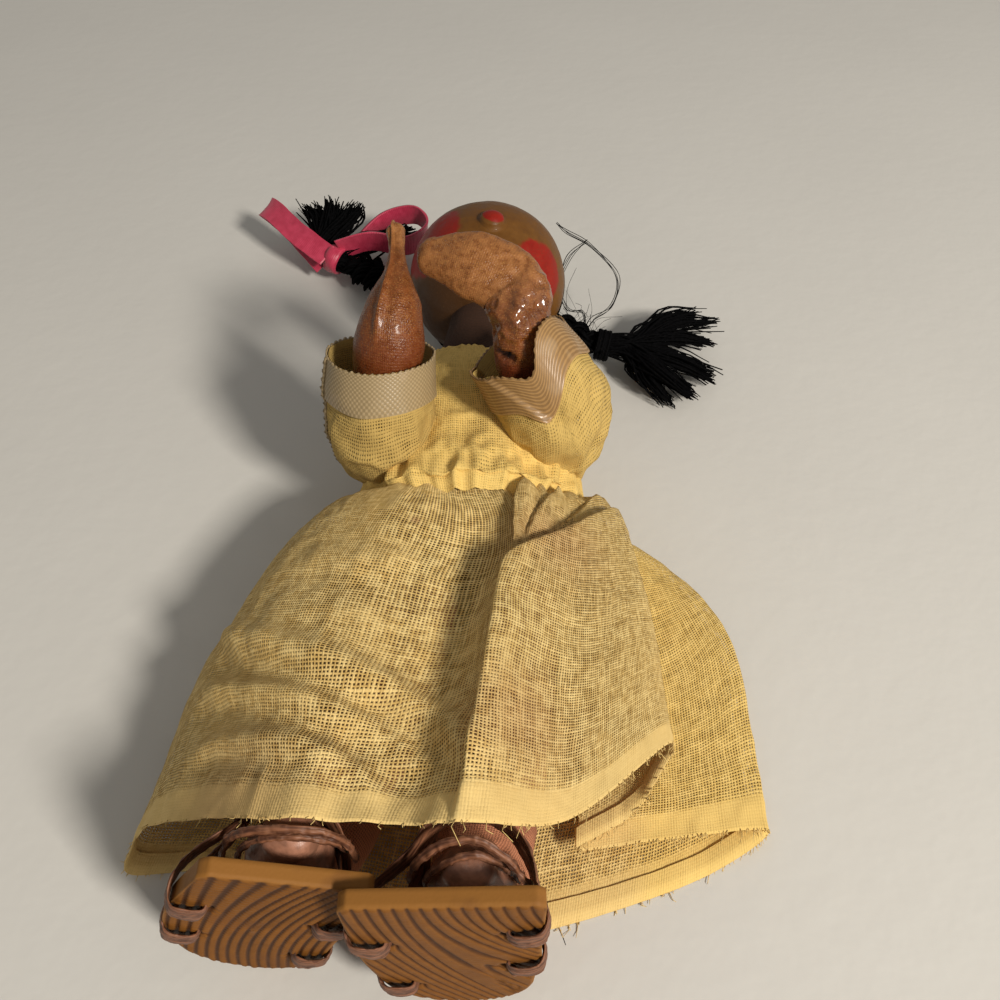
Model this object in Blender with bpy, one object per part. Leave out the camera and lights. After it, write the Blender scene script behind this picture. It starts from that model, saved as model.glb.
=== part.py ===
# A small cloth souvenir doll lying on its back: soles towards -Y, head towards +Y, face up.
# The world origin lies on the flat underside of the skirt, under the thighs.

import math

import bpy
import bmesh
from mathutils import Matrix, Vector

mm = 0.001
gap = 0.3 * mm              # clearance kept between pieces that touch
waistPlace = 20.0 * mm      # from the world origin to the waist, where the places below are measured from

headRadius = 19.5 * mm
headCentre = (4.3, 71.3, 22.0)      # millimetres, as are the other places below
headTilt = math.radians(8)          # the face tips towards the feet
headTurn = math.radians(-15)        # the chin turns to the left of the picture
noseRadius = 3.3 * mm
noseHeight = 2.8 * mm
lipHeight = 0.9 * mm
hairThickness = 2.0 * mm
hairLocks = 0.3 * mm        # height of the locks on the hair
neckRadius = 8.2 * mm

gauzeWall = 0.8 * mm        # gauze with its small folds
skirtWall = 0.8 * mm
cuffWall = 0.5 * mm
cuffWidth = 8.0 * mm

soleLength = 45.0 * mm
soleThickness = 3.0 * mm
soleHeelWidth = 22.5 * mm
soleBallWidth = 26.5 * mm
soleCornerCut = 1.2 * mm
strapWidth = 2.6 * mm
strapThickness = 0.9 * mm

ribbonWidth = 6.4 * mm
ribbonThickness = 0.5 * mm
bowTieWall = 0.8 * mm
tieWidth = 4.0 * mm
tieRadius = 2.9 * mm        # of the yarn inside a tie
tieWall = 1.0 * mm

# Lines down the skirt from the waist through hip and thigh to the hem, in millimetres.
# They run round the skirt from the left fold over the legs to the right and back below.
# The front lies over the toes, folds under at the right and comes out again on the table.
foldLines = {
    "leftFold": ((-24, 0, 7), (-38, -8, 5), (-50, -36, 5), (-56.6, -72.5, 5)),
    "leftBulge": ((-27, -1, 15), (-35, -7, 15), (-47.5, -36, 14.5), (-53.8, -69.2, 12)),
    "leftSlope": ((-21, -2, 25), (-27, -9, 26.5), (-37.5, -39, 29), (-40.5, -73.5, 29.5)),
    "leftCrest": ((-10, -3.5, 30.5), (-13, -12, 32), (-21, -43, 36.5), (-24, -79.2, 43.5)),
    "valley": ((2, -6, 31.5), (4, -15, 32), (-1, -45, 35), (-8, -79.8, 42.8)),
    "ridge": ((11, -6, 33), (11.5, -13, 35.5), (6.5, -41, 39.5), (3, -80.7, 45)),
    "rightSlope": ((21, -2, 28.5), (23, -12, 31), (20.5, -42, 33), (17, -76, 34.5)),
    "foldPeak": ((27, 0, 23), (31, -10, 25.5), (35, -34, 24.5), (36.3, -57.6, 23)),
    "foldUnder": ((28.6, 0.6, 18.5), (30, -8.5, 18), (31, -34.5, 14), (29.8, -64.5, 9)),
    "innerTurn": ((29.2, 0.8, 14.5), (28, -8, 12.5), (24.5, -36, 8.5), (20.9, -68.3, 4.8)),
    "flatMiddle": ((30, 1.2, 11), (34, -5, 8), (39, -35, 5), (38, -66.4, 5)),
    "rightFold": ((29, 2, 7), (42.5, -4.5, 4.2), (52.5, -28, 3.6), (55.4, -64.7, 3.6)),
    "backRight": ((20, 2, -1), (31, -5, -1), (42, -33, -1), (36, -74.5, -1)),
    "backMiddle": ((0, 1, -1), (0, -12, -1), (-3, -40, -1), (-10, -83.6, -1)),
    "backLeft": ((-14, 0, -1), (-24, -8, -1), (-37, -38, -1), (-47, -70.5, -1)),
}
skirtRows = 10
skirtColumnsPerFold = 3

# Bodice sections from waist to neckline: place along Y, centre x and z, half width, half height.
bodiceSections = (
    (-1.0, 2.0, 16.0, 21.5, 16.3),
    (8.0, 1.5, 16.4, 22.5, 16.6),
    (18.0, 1.0, 16.6, 22.5, 16.8),
    (28.0, 0.5, 17.0, 19.5, 15.6),
    (34.5, 0.0, 18.6, 13.4, 12.2),
    (38.0, 0.0, 19.4, 10.2, 10.2),
)
shoulderInset = 1.6 * mm    # the body falls away from the cloth towards the neck
bodiceRows = 7
bodiceSides = 20
seamDip = 4.5 * mm          # the waist seam hangs towards the feet at the front

neckBase = (0, 36.0, 19.4)  # just inside the neckline

# The seat below the waist: its middle in x and z, and the share of its full size at places along Y.
seatCentre = (1.0, 14.8)
seatHalfWidth = 17.5 * mm
seatHalfHeight = 12.6 * mm
seatSections = ((-15.5, 0.45), (-13.5, 0.8), (-8.0, 0.93))

# Arms, sleeves and legs: points on the middle line and the half widths across it, in millimetres.
limbs = {
    "arm_left": {
        "path": ((-9, 16, 15), (-15, 15, 27), (-15.5, 14.5, 38), (-14.5, 16, 47), (-13.3, 21.5, 54),
                 (-12.9, 27, 57.5), (-13.2, 31.5, 59.6), (-13.4, 35, 61.2)),
        "halfWidths": (5.5, 6.2, 6.6, 6.9, 5.4, 2.3, 1.5, 1.7),
        "halfDepths": (5.5, 6.2, 6.8, 7.2, 5.8, 2.8, 1.6, 1.7),
        "across": (1, 0, 0),
    },
    "arm_right": {
        "path": ((7, 15, 16), (14, 15, 27), (13.5, 15, 38), (11.6, 15.4, 47), (11.4, 18.5, 53),
                 (9.4, 23.0, 57.0), (2.0, 26.0, 59.5), (-5.8, 29.0, 59.5)),
        "halfWidths": (5.5, 5.8, 5.4, 5.4, 6.2, 6.9, 6.6, 3.8),
        "halfDepths": (5.5, 5.6, 5.2, 5.3, 5.4, 3.9, 3.0, 2.0),
        "across": (0, 0.755, 0.656),
    },
    "sleeve_left": {
        "path": ((-8, 15, 13), (-15.5, 13.5, 22), (-17, 12, 33), (-16.5, 17, 45)),
        "halfWidths": (8.5, 10.6, 11.2, 10.4),
        "halfDepths": (8.5, 11.0, 12.6, 11.6),
        "across": (1, 0, 0),
    },
    "sleeve_right": {
        "path": ((8, 15, 13), (17, 14.5, 22), (18.2, 14.5, 33), (11.4, 19.6, 44.4)),
        "halfWidths": (8.5, 11.2, 11.6, 9.8),
        "halfDepths": (8.5, 11.5, 13.0, 13.6),
        "across": (1, 0, 0),
    },
    "leg_left": {
        "path": ((-9.6, -23.2, 12.5), (-14.5, -44, 12.6), (-21, -66, 12.8), (-24.5, -76, 16),
                 (-24.5, -79, 25), (-23.2, -79.6, 33), (-22.3, -79.9, 38.3)),
        "halfWidths": (9.2, 9.2, 8.6, 8.0, 7.2, 6.8, 4.8),
        "halfDepths": (9.4, 9.2, 8.6, 7.2, 5.8, 5.4, 4.2),
        "across": (1, 0, 0),
    },
    "leg_right": {
        "path": ((10.4, -23.2, 12.5), (8.4, -44, 12.6), (5.4, -68, 12.8), (4, -78, 16),
                 (3.4, -82.2, 25), (3.2, -83.4, 32), (3.2, -83.8, 36.6)),
        "halfWidths": (9.2, 9.2, 8.8, 8.2, 7.4, 6.6, 4.4),
        "halfDepths": (9.4, 9.2, 8.6, 7.0, 5.6, 5.0, 4.0),
        "across": (1, 0, 0),
    },
}

# Each sole stands on its heel: heel centre on the table, lean of the toe towards -Y, roll in
# degrees, width of the toe edge and how far the middle bows sideways.
# A strap is given by how high up the sole it leaves the left and the right edge, then by the
# height and the depth of its arch over the foot.
sandals = {
    "left": {
        "heel": (-32.8, -83.9, 0.8), "lean": 2.6, "roll": 16.0, "toeWidth": 23.5, "bow": -2.6,
        "footMiddle": -0.4,
        "straps": ((32.0, 28.0, 35.4, 11.6), (19.0, 11.0, 33.8, 12.0)),
    },
    "right": {
        "heel": (2.2, -88.9, 0.4), "lean": 0.6, "roll": -3.0, "toeWidth": 27.5, "bow": -0.6,
        "footMiddle": 2.6,
        "straps": ((31.0, 35.0, 36.8, 12.8), (11.5, 21.0, 35.2, 13.2)),
    },
}

# Braids: points on the middle line, where the tie sits and where the loose locks end.
braids = {
    "left": {
        "path": ((-14.6, 82, 8), (-22, 91, 7), (-30, 96.5, 6.4), (-36, 99.8, 6.6), (-43, 103.6, 8)),
        "halfWidths": (3.4, 4.4, 5.4, 2.7, 2.4),
        "tieShare": 0.86,
        "lockRadius": 1.9,
        "tips": ((-52, 122.5, 12.5), (-47, 121.5, 13.5), (-41.5, 119.5, 15), (-34.5, 117.5, 16),
                 (-28, 115, 17)),
    },
    "right": {
        "path": ((20.6, 70.5, 10), (26, 66.5, 9.6), (30, 63.8, 8.8), (34, 62.8, 8.2), (38, 62.4, 7.6)),
        "halfWidths": (3.0, 3.6, 3.2, 2.6, 2.6),
        "tieShare": 0.75,
        "lockRadius": 2.9,
        "tips": ((50, 45.5, 2.6), (57, 48.5, 3), (62.5, 55.5, 3.6), (65.5, 64, 4.4), (66.5, 73, 5.2),
                 (62.5, 82.5, 6)),
    },
}

# The bow: one flat loop out to the left and a round one behind it towards the head.
bowLoops = (
    {"path": ((-41, 99.5, 9.5), (-50, 106.5, 12.2), (-57.6, 114.6, 14.2), (-60.2, 117.6, 13.5),
              (-57.6, 116.4, 12.1), (-50, 108.5, 9.8), (-42.5, 101, 5.6)),
     "across": (0.62, 0.59, 0.51)},
    {"path": ((-36, 103.8, 4.2), (-33, 110.2, 6), (-26, 116.4, 9.5), (-17, 115.8, 12),
              (-13.5, 110, 11), (-18.5, 103.8, 10.5), (-29, 102, 13), (-38, 101.5, 10.6)),
     "across": (0, -0.1, 1)},
)


# Points and curves

def millimetres(point):
    return Vector(point) * mm


def smoothStep(value):
    value = min(max(value, 0.0), 1.0)
    return value * value * (3 - 2 * value)


def splineSpan(before, start, end, after, share):
    # centripetal Catmull-Rom, which doesn't overshoot where points lie unevenly
    points = (before, start, end, after)
    knots = [0.0]
    for first, second in zip(points, points[1:]):
        knots.append(knots[-1] + max((second - first).length, 1e-7) ** 0.5)
    place = knots[1] + (knots[2] - knots[1]) * share
    level = list(points)
    for order in (1, 2, 3):
        nextLevel = []
        for index in range(len(level) - 1):
            low, high = (index, index + order) if order < 3 else (1, 2)
            if order == 2:
                low, high = index, index + 2
            weight = (place - knots[low]) / (knots[high] - knots[low])
            nextLevel.append(level[index].lerp(level[index + 1], weight))
        level = nextLevel
    return level[0]


def alongLine(points, share):
    spans = len(points) - 1
    place = min(max(share, 0.0), 1.0) * spans
    index = min(int(place), spans - 1)
    start, end = points[index], points[index + 1]
    before = points[index - 1] if index > 0 else start * 2 - end
    after = points[index + 2] if index + 2 <= spans else end * 2 - start
    return splineSpan(before, start, end, after, place - index)


def closedLoop(points, perSpan):
    count = len(points)
    loop = []
    for index in range(count):
        around = [points[(index + step) % count] for step in (-1, 0, 1, 2)]
        for step in range(perSpan):
            loop.append(splineSpan(*around, step / perSpan))
    return loop


def alongValues(values, share):
    return alongLine([Vector((value, 0, 0)) for value in values], share).x


# Meshes

def addMaterial(name, colour, roughness, metallic=0.0):
    material = bpy.data.materials.new(name)
    material.use_nodes = True
    shader = material.node_tree.nodes["Principled BSDF"]
    shader.inputs["Base Color"].default_value = (*colour, 1)
    shader.inputs["Roughness"].default_value = roughness
    shader.inputs["Metallic"].default_value = metallic
    return material


def addObject(name, points, faces, material=None):
    mesh = bpy.data.meshes.new(name)
    mesh.from_pydata([tuple(point) for point in points], [], faces)
    work = bmesh.new()
    work.from_mesh(mesh)
    bmesh.ops.recalc_face_normals(work, faces=work.faces)
    work.to_mesh(mesh)
    work.free()
    mesh.shade_smooth()
    mesh.set_sharp_from_angle(angle=math.radians(40))
    if material:
        mesh.materials.append(material)
    item = bpy.data.objects.new(name, mesh)
    bpy.context.scene.collection.objects.link(item)
    return item


def bandFaces(rows, columns, offset=0, reverse=False):
    faces = []
    for row in range(rows - 1):
        for column in range(columns):
            following = (column + 1) % columns
            face = [offset + row * columns + column, offset + row * columns + following,
                    offset + (row + 1) * columns + following, offset + (row + 1) * columns + column]
            faces.append(face[::-1] if reverse else face)
    return faces


def closedBody(name, rings, material=None):
    # rings joined in turn, each end closed by a fan round its middle
    columns = len(rings[0])
    points = [point for ring in rings for point in ring]
    faces = bandFaces(len(rings), columns)
    for ring, first in ((rings[0], 0), (rings[-1], (len(rings) - 1) * columns)):
        middle = sum(ring, Vector()) / columns
        points.append(middle)
        for column in range(columns):
            faces.append([first + column, first + (column + 1) % columns, len(points) - 1])
    return addObject(name, points, faces, material)


def gridNormals(rings):
    rows, columns = len(rings), len(rings[0])
    middle = sum((point for ring in rings for point in ring), Vector()) / (rows * columns)
    normals = []
    facing = 0.0
    for row in range(rows):
        line = []
        for column in range(columns):
            alongStep = rings[min(row + 1, rows - 1)][column] - rings[max(row - 1, 0)][column]
            aroundStep = rings[row][(column + 1) % columns] - rings[row][column - 1]
            normal = aroundStep.cross(alongStep).normalized()
            facing += normal.dot(rings[row][column] - middle)
            line.append(normal)
        normals.append(line)
    side = 1 if facing > 0 else -1
    return [[normal * side for normal in line] for line in normals]


def clothTube(name, rings, wall, material=None):
    # a tube open at both ends, its wall laid inwards from the given rings
    rows, columns = len(rings), len(rings[0])
    normals = gridNormals(rings)
    inner = [[point - normal * wall for point, normal in zip(ring, line)]
             for ring, line in zip(rings, normals)]
    points = [point for ring in rings for point in ring]
    points += [point for ring in inner for point in ring]
    size = rows * columns
    faces = bandFaces(rows, columns) + bandFaces(rows, columns, size, True)
    for row in (0, rows - 1):
        for column in range(columns):
            following = (column + 1) % columns
            first, second = row * columns + column, row * columns + following
            faces.append([first, second, second + size, first + size])
    return addObject(name, points, faces, material)


def sweepRings(path, halfWidths, halfDepths, across, sides, rows, grow=0.0, start=0.0, end=1.0,
               square=False):
    # sections across a smooth middle line; grow widens them for a clearance cut
    points = [millimetres(point) for point in path]
    rings = []
    for row in range(rows):
        share = start + (end - start) * row / (rows - 1)
        centre = alongLine(points, share)
        direction = (alongLine(points, min(share + 0.01, 1)) -
                     alongLine(points, max(share - 0.01, 0))).normalized()
        side = Vector(across) - direction * Vector(across).dot(direction)
        side.normalize()
        normal = direction.cross(side)
        halfWidth = alongValues(halfWidths, share) * mm + grow
        halfDepth = alongValues(halfDepths, share) * mm + grow
        ring = []
        for step in range(sides):
            angle = math.tau * (step + 0.5) / sides
            width, depth = math.cos(angle), math.sin(angle)
            if square:
                width, depth = math.copysign(1, width), math.copysign(1, depth)
            ring.append(centre + side * (width * halfWidth) + normal * (depth * halfDepth))
        rings.append(ring)
    return rings


def domeRings(endRing, inwards):
    # two smaller rings that round off the end of a swept body
    middle = sum(endRing, Vector()) / len(endRing)
    outwards = (middle - sum(inwards, Vector()) / len(inwards)).normalized()
    radius = max((point - middle).length for point in endRing)
    dome = []
    for angle in (0.6, 1.15):
        shift = outwards * (radius * 0.8 * math.sin(angle))
        dome.append([middle + (point - middle) * math.cos(angle) + shift for point in endRing])
    return dome


def roundedBody(name, limb, sides, rows, material=None, grow=0.0):
    rings = sweepRings(limb["path"], limb["halfWidths"], limb["halfDepths"], limb["across"],
                       sides, rows, grow)
    start = domeRings(rings[0], rings[1])[::-1]
    end = domeRings(rings[-1], rings[-2])
    return closedBody(name, start + rings + end, material)


def applyBoolean(item, other, operation, keepOther=False):
    change = item.modifiers.new("Change", "BOOLEAN")
    change.operation = operation
    change.solver = "EXACT"
    change.use_self = True
    change.object = other
    graph = bpy.context.evaluated_depsgraph_get()
    result = bpy.data.meshes.new_from_object(item.evaluated_get(graph))
    item.modifiers.remove(change)
    old = item.data
    result.name = old.name
    item.data = result
    bpy.data.meshes.remove(old)
    if not keepOther:
        otherMesh = other.data
        bpy.data.objects.remove(other)
        bpy.data.meshes.remove(otherMesh)
    return item


def cutAway(item, cutter, keepCutter=False):
    return applyBoolean(item, cutter, "DIFFERENCE", keepCutter)


def fuse(items):
    whole = items[0]
    for item in items[1:]:
        applyBoolean(whole, item, "UNION")
    return whole


def largestShell(item):
    # drops loose scraps that a cut leaves behind
    work = bmesh.new()
    work.from_mesh(item.data)
    left = set(work.verts)
    shells = []
    while left:
        shell = {left.pop()}
        edge = set(shell)
        while edge:
            edge = {link.other_vert(point) for point in edge for link in point.link_edges} - shell
            shell |= edge
        left -= shell
        shells.append(shell)
    shells.sort(key=len, reverse=True)
    for shell in shells[1:]:
        bmesh.ops.delete(work, geom=list(shell), context="VERTS")
    work.to_mesh(item.data)
    work.free()
    return item


# Body, bodice and head

def bodiceRings(grow=0.0, shoulderGrow=0.0):
    # rings from waist to neckline, widened by grow and by a further amount towards the neck
    sections = [Vector(section[:3]) for section in bodiceSections]
    rings = []
    for row in range(bodiceRows):
        share = row / (bodiceRows - 1)
        place, centreX, centreZ = alongLine(sections, share)
        wider = grow + shoulderGrow * share
        halfWidth = alongValues([section[3] for section in bodiceSections], share) * mm + wider
        halfHeight = alongValues([section[4] for section in bodiceSections], share) * mm + wider
        dip = seamDip * (1 - smoothStep(share * 4))
        ring = []
        for step in range(bodiceSides):
            angle = math.tau * step / bodiceSides
            height = math.sin(angle)
            point = Vector((centreX * mm + halfWidth * math.cos(angle), place * mm,
                            centreZ * mm + halfHeight * height))
            point.y -= dip * max(height, 0) ** 2
            point.z = max(point.z, -grow)
            ring.append(point)
        rings.append(ring)
    return rings


def waistPoint(towards):
    # the point of the waist seam that lies in the given direction from its middle
    place, centreX, centreZ, halfWidth, halfHeight = bodiceSections[0]
    angle = math.atan2((towards.z / mm - centreZ) / halfHeight, (towards.x / mm - centreX) / halfWidth)
    height = math.sin(angle)
    point = Vector((centreX * mm + halfWidth * mm * math.cos(angle), place * mm - gap,
                    max(centreZ * mm + halfHeight * mm * height, 0)))
    point.y -= seamDip * max(height, 0) ** 2
    return point


def buildTorso(cloth):
    rings = bodiceRings(-gauzeWall - gap, -shoulderInset)
    seat = []
    for place, share in seatSections:
        centre = millimetres((seatCentre[0], place, seatCentre[1]))
        seat.append([centre + Vector((seatHalfWidth * share * math.cos(math.tau * step / bodiceSides), 0,
                                      seatHalfHeight * share * math.sin(math.tau * step / bodiceSides)))
                     for step in range(bodiceSides)])
    return closedBody("torso", seat + rings[:-1] + neckRings(0.0, bodiceSides), cloth)


def neckRings(grow, sides):
    # from inside the neckline into the head, which then cuts it off
    top = millimetres(headCentre) - Vector((0, headRadius * 0.6, 0))
    base = millimetres(neckBase)
    radius = neckRadius + grow
    rings = []
    for share in (0.0, 0.5, 1.0):
        centre = base.lerp(top, share)
        rings.append([centre + Vector((radius * math.cos(math.tau * step / sides), 0,
                                       radius * math.sin(math.tau * step / sides)))
                      for step in range(sides)])
    return rings


def headPoint(polar, around, radius):
    # polar is measured from the nose, around from the crown
    local = Vector((math.sin(polar) * math.sin(around), math.sin(polar) * math.cos(around),
                    math.cos(polar))) * radius
    pose = Matrix.Rotation(headTurn, 3, "Z") @ Matrix.Rotation(headTilt, 3, "X")
    return millimetres(headCentre) + pose @ local


def faceRelief(polar, around):
    offset = polar * headRadius
    nose = noseHeight * math.sqrt(max(1 - (offset / noseRadius) ** 2, 0))
    chinwards = -offset * math.cos(around) - 6.3 * mm
    sidewards = offset * math.sin(around)
    lips = lipHeight * math.exp(-(chinwards / (1.5 * mm)) ** 2 - (sidewards / (2.8 * mm)) ** 2)
    return max(nose, lips)


def buildHead(paint):
    rows, columns = 15, 18
    rings = []
    for row in range(1, rows):
        polar = math.pi * (row / rows) ** 1.55
        rings.append([headPoint(polar, math.tau * column / columns,
                                headRadius + faceRelief(polar, math.tau * column / columns))
                      for column in range(columns)])
    head = closedBody("head", rings, paint)
    return head


def headBall(radius):
    # a plain ball round the head's middle, a little larger so that its flat faces clear the radius
    rows, columns = 14, 20
    outside = radius / (math.cos(math.pi / rows / 2) * math.cos(math.pi / columns))
    return closedBody("clearance", [[headPoint(math.pi * row / rows, math.tau * column / columns, outside)
                                     for column in range(columns)] for row in range(1, rows)])


def hairline(around):
    # low over the brow, behind the cheeks and far back under the chin
    return math.radians(106 - 40 * math.cos(around))


def buildHair(yarn):
    rows, columns = 7, 20
    flatness = math.cos(math.radians(9.5)) * math.cos(math.pi / columns)
    seat = (headRadius + gap) / flatness      # the flat faces of the inside clear the head
    outer, inner = [], []
    for row in range(rows):
        share = row / (rows - 1)
        outerRing, innerRing = [], []
        for column in range(columns):
            around = math.tau * column / columns
            start = hairline(around)
            polar = start + (math.pi * 0.985 - start) * share
            rise = hairThickness * (0.45 + 0.55 * smoothStep(share * 3))
            locks = hairLocks * math.sin(around * 10)
            point = headPoint(polar, around, seat + rise + locks)
            point.z = max(point.z, 0)
            outerRing.append(point)
            innerRing.append(headPoint(polar, around, seat))
        outer.append(outerRing)
        inner.append(innerRing)
    size = rows * columns
    points = [point for ring in outer for point in ring] + [point for ring in inner for point in ring]
    faces = bandFaces(rows, columns) + bandFaces(rows, columns, size, True)
    for column in range(columns):
        following = (column + 1) % columns
        faces.append([column, following, following + size, column + size])
    for offset, rings in ((0, outer), (size, inner)):
        points.append(sum(rings[-1], Vector()) / columns)
        last = offset + (rows - 1) * columns
        for column in range(columns):
            faces.append([last + column, last + (column + 1) % columns, len(points) - 1])
    return addObject("hair", points, faces, yarn)


# Skirt

def skirtRings():
    lines = [[millimetres(point) for point in line] for line in foldLines.values()]
    rings = []
    for row in range(skirtRows):
        share = row / (skirtRows - 1)
        ring = closedLoop([alongLine(line, share) for line in lines], skirtColumnsPerFold)
        gather = 1 - smoothStep(share * 8)
        for index, point in enumerate(ring):
            point.z = max(point.z, 0)
            ring[index] = point.lerp(waistPoint(point), gather)
        rings.append(ring)
    return rings


# Sandals

def soleHalfWidth(sandal, height):
    share = height / soleLength
    toe, heel = sandal["toeWidth"] * mm / 2, soleHeelWidth / 2
    ball = soleBallWidth / 2
    width = heel + (ball - heel) * smoothStep((share - 0.15) / 0.4)
    width += (toe - ball) * smoothStep((share - 0.55) / 0.45)
    if height < heel:
        width *= math.sqrt(max(1 - (1 - height / heel) ** 2, 0))
    return width


def soleMiddle(sandal, height):
    return sandal["bow"] * mm * math.sin(math.pi * height / soleLength)


def soleFrame(sandal):
    # local x runs across the sole, y to its outer face, z from heel to toe
    turn = Matrix.Rotation(math.radians(sandal["roll"]), 4, "Y")
    lean = Matrix.Rotation(math.radians(sandal["lean"]), 4, "X")
    return Matrix.Translation(millimetres(sandal["heel"])) @ turn @ lean


def buildSole(name, sandal, rubber):
    heights = [soleHeelWidth / 2 * (1 - math.cos(math.radians(angle))) for angle in (0, 18, 36, 54, 72, 90)]
    heights += [soleLength * share for share in (0.4, 0.6, 0.8, 0.96, 1.0)]
    widths = [soleHalfWidth(sandal, height) for height in heights]
    widths[-1] -= soleCornerCut
    edges = [(soleMiddle(sandal, height), width, height) for width, height in zip(widths, heights)]
    outline = [Vector((middle - width, 0, height)) for middle, width, height in edges]
    outline += [Vector((middle + width, 0, height)) for middle, width, height in edges[:0:-1]]
    frame = soleFrame(sandal)
    faces = [list(range(len(outline))), [index + len(outline) for index in range(len(outline))][::-1]]
    for index in range(len(outline)):
        following = (index + 1) % len(outline)
        faces.append([index, following, following + len(outline), index + len(outline)])
    points = [frame @ point for point in outline]
    points += [frame @ (point - Vector((0, soleThickness, 0))) for point in outline]
    return addObject(name, points, faces, rubber)


def strapPath(sandal, leftHeight, rightHeight, archHeight, archDepth):
    # from a slit in the outer face round the edge, over the foot and back into the other slit
    outside = strapThickness / 2 + gap
    left = soleHalfWidth(sandal, leftHeight * mm) - soleMiddle(sandal, leftHeight * mm)
    right = soleHalfWidth(sandal, rightHeight * mm) + soleMiddle(sandal, rightHeight * mm)
    footMiddle = sandal["footMiddle"] * mm
    slitDepth = soleThickness * 0.45
    arch = archDepth * mm
    lowArch = (leftHeight + archHeight) / 2 * mm
    highArch = (rightHeight + archHeight) / 2 * mm
    return [
        Vector((-left + 5.2 * mm, -soleThickness + slitDepth, leftHeight * mm - 1.6 * mm)),
        Vector((-left + 4.2 * mm, -soleThickness - outside, leftHeight * mm - 1.2 * mm)),
        Vector((-left + 0.2 * mm, -soleThickness - outside, leftHeight * mm)),
        Vector((-left - outside * 1.6, -soleThickness * 0.5, leftHeight * mm + 0.4 * mm)),
        Vector((-left + 0.6 * mm, 2.4 * mm, leftHeight * mm + 0.9 * mm)),
        Vector((footMiddle - 8.6 * mm, arch * 0.64, lowArch)),
        Vector((footMiddle - 4.6 * mm, arch * 0.93, archHeight * mm)),
        Vector((footMiddle, arch, archHeight * mm + 0.6 * mm)),
        Vector((footMiddle + 4.6 * mm, arch * 0.93, archHeight * mm)),
        Vector((footMiddle + 8.6 * mm, arch * 0.64, highArch)),
        Vector((right - 0.6 * mm, 2.4 * mm, rightHeight * mm + 0.9 * mm)),
        Vector((right + outside * 1.6, -soleThickness * 0.5, rightHeight * mm + 0.4 * mm)),
        Vector((right - 0.2 * mm, -soleThickness - outside, rightHeight * mm)),
        Vector((right - 4.2 * mm, -soleThickness - outside, rightHeight * mm - 1.2 * mm)),
        Vector((right - 5.2 * mm, -soleThickness + slitDepth, rightHeight * mm - 1.6 * mm)),
    ]


def strapBody(name, sandal, heights, leather, grow=0.0):
    frame = soleFrame(sandal)
    path = [(frame @ point) / mm for point in strapPath(sandal, *heights)]
    count = len(path)
    rings = sweepRings(path, [strapWidth / 2 / mm] * count, [strapThickness / 2 / mm] * count,
                       frame.to_3x3() @ Vector((0, 0, 1)), 4, 22, grow, square=True)
    return closedBody(name, rings, leather)


def buildSandals(rubber, leather, feet):
    # the slits in the soles and the dents in the feet are cut by the straps themselves
    soles = {side: buildSole("sole_" + side, sandals[side], rubber) for side in sandals}
    for side, sandal in sandals.items():
        straps = fuse([strapBody("straps_" + side, sandal, heights, leather)
                       for heights in sandal["straps"]])
        straps.name = "straps_" + side
        for heights in sandal["straps"]:
            clear = strapBody("clearance", sandal, heights, None, gap * 2)
            for item in (*soles.values(), feet[side]):
                cutAway(item, clear, True)
            bpy.data.objects.remove(clear)
    for item in (*soles.values(), *feet.values()):
        largestShell(item)


# Braids, ties and ribbon

def buildBraid(name, braid, yarn):
    path, tied = braid["path"], Vector(braid["path"][-1])
    stem = {"path": path, "halfWidths": braid["halfWidths"], "halfDepths": braid["halfWidths"],
            "across": (0, 0, 1)}
    pieces = [roundedBody(name, stem, 7, 8, yarn)]
    root = tied + (Vector(path[-2]) - tied).normalized() * 0.5
    radius = braid["lockRadius"]
    for index, tip in enumerate(braid["tips"]):
        middle = tied.lerp(Vector(tip), 0.5) + Vector((0, 0, 1.2 + 0.8 * (index % 2)))
        widths = (radius * 0.6, radius * 0.9, radius, 0.5)
        rings = sweepRings((root, tied.lerp(Vector(tip), 0.2), middle, tip), widths,
                           [width * 0.75 for width in widths], (0, 0, 1), 5, 4)
        pieces.append(closedBody("lock", rings))
    return fuse(pieces)


def tieFrame(braid):
    points = [millimetres(point) for point in braid["path"]]
    share = braid["tieShare"]
    along = (alongLine(points, share + 0.03) - alongLine(points, share - 0.03)).normalized()
    return alongLine(points, share), along


def tieRing(name, braid, wall, material):
    # a band closed round the braid
    centre, along = tieFrame(braid)
    side = along.orthogonal().normalized()
    other = along.cross(side)
    sides = 14
    rings = []
    for shift in (-tieWidth / 2, 0, tieWidth / 2):
        radius = tieRadius + gap + wall
        rings.append([centre + along * shift + (side * math.cos(math.tau * step / sides) +
                                                other * math.sin(math.tau * step / sides)) * radius
                      for step in range(sides)])
    return clothTube(name, rings, wall, material)


def ontoTie(point, braid, radius):
    # moves a loop's end into the wall of the tie that holds it
    centre, along = tieFrame(braid)
    offset = millimetres(point) - centre
    shift = offset.dot(along)
    outwards = (offset - along * shift).normalized()
    shift = min(max(shift, -tieWidth / 4), tieWidth / 4)
    return (centre + along * shift + outwards * radius) / mm


def ribbonLoop(loop, braid, grow=0.0):
    radius = tieRadius + gap + bowTieWall / 2
    route = loop["path"]
    path = [ontoTie(route[0], braid, radius), *route[1:-1], ontoTie(route[-1], braid, radius * 1.03)]
    count = len(path)
    rings = sweepRings(path, [ribbonWidth / 2 / mm] * count, [ribbonThickness / 2 / mm] * count,
                       loop["across"], 4, 15, grow, square=True)
    return closedBody("loop", rings)


# Sleeves

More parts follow.
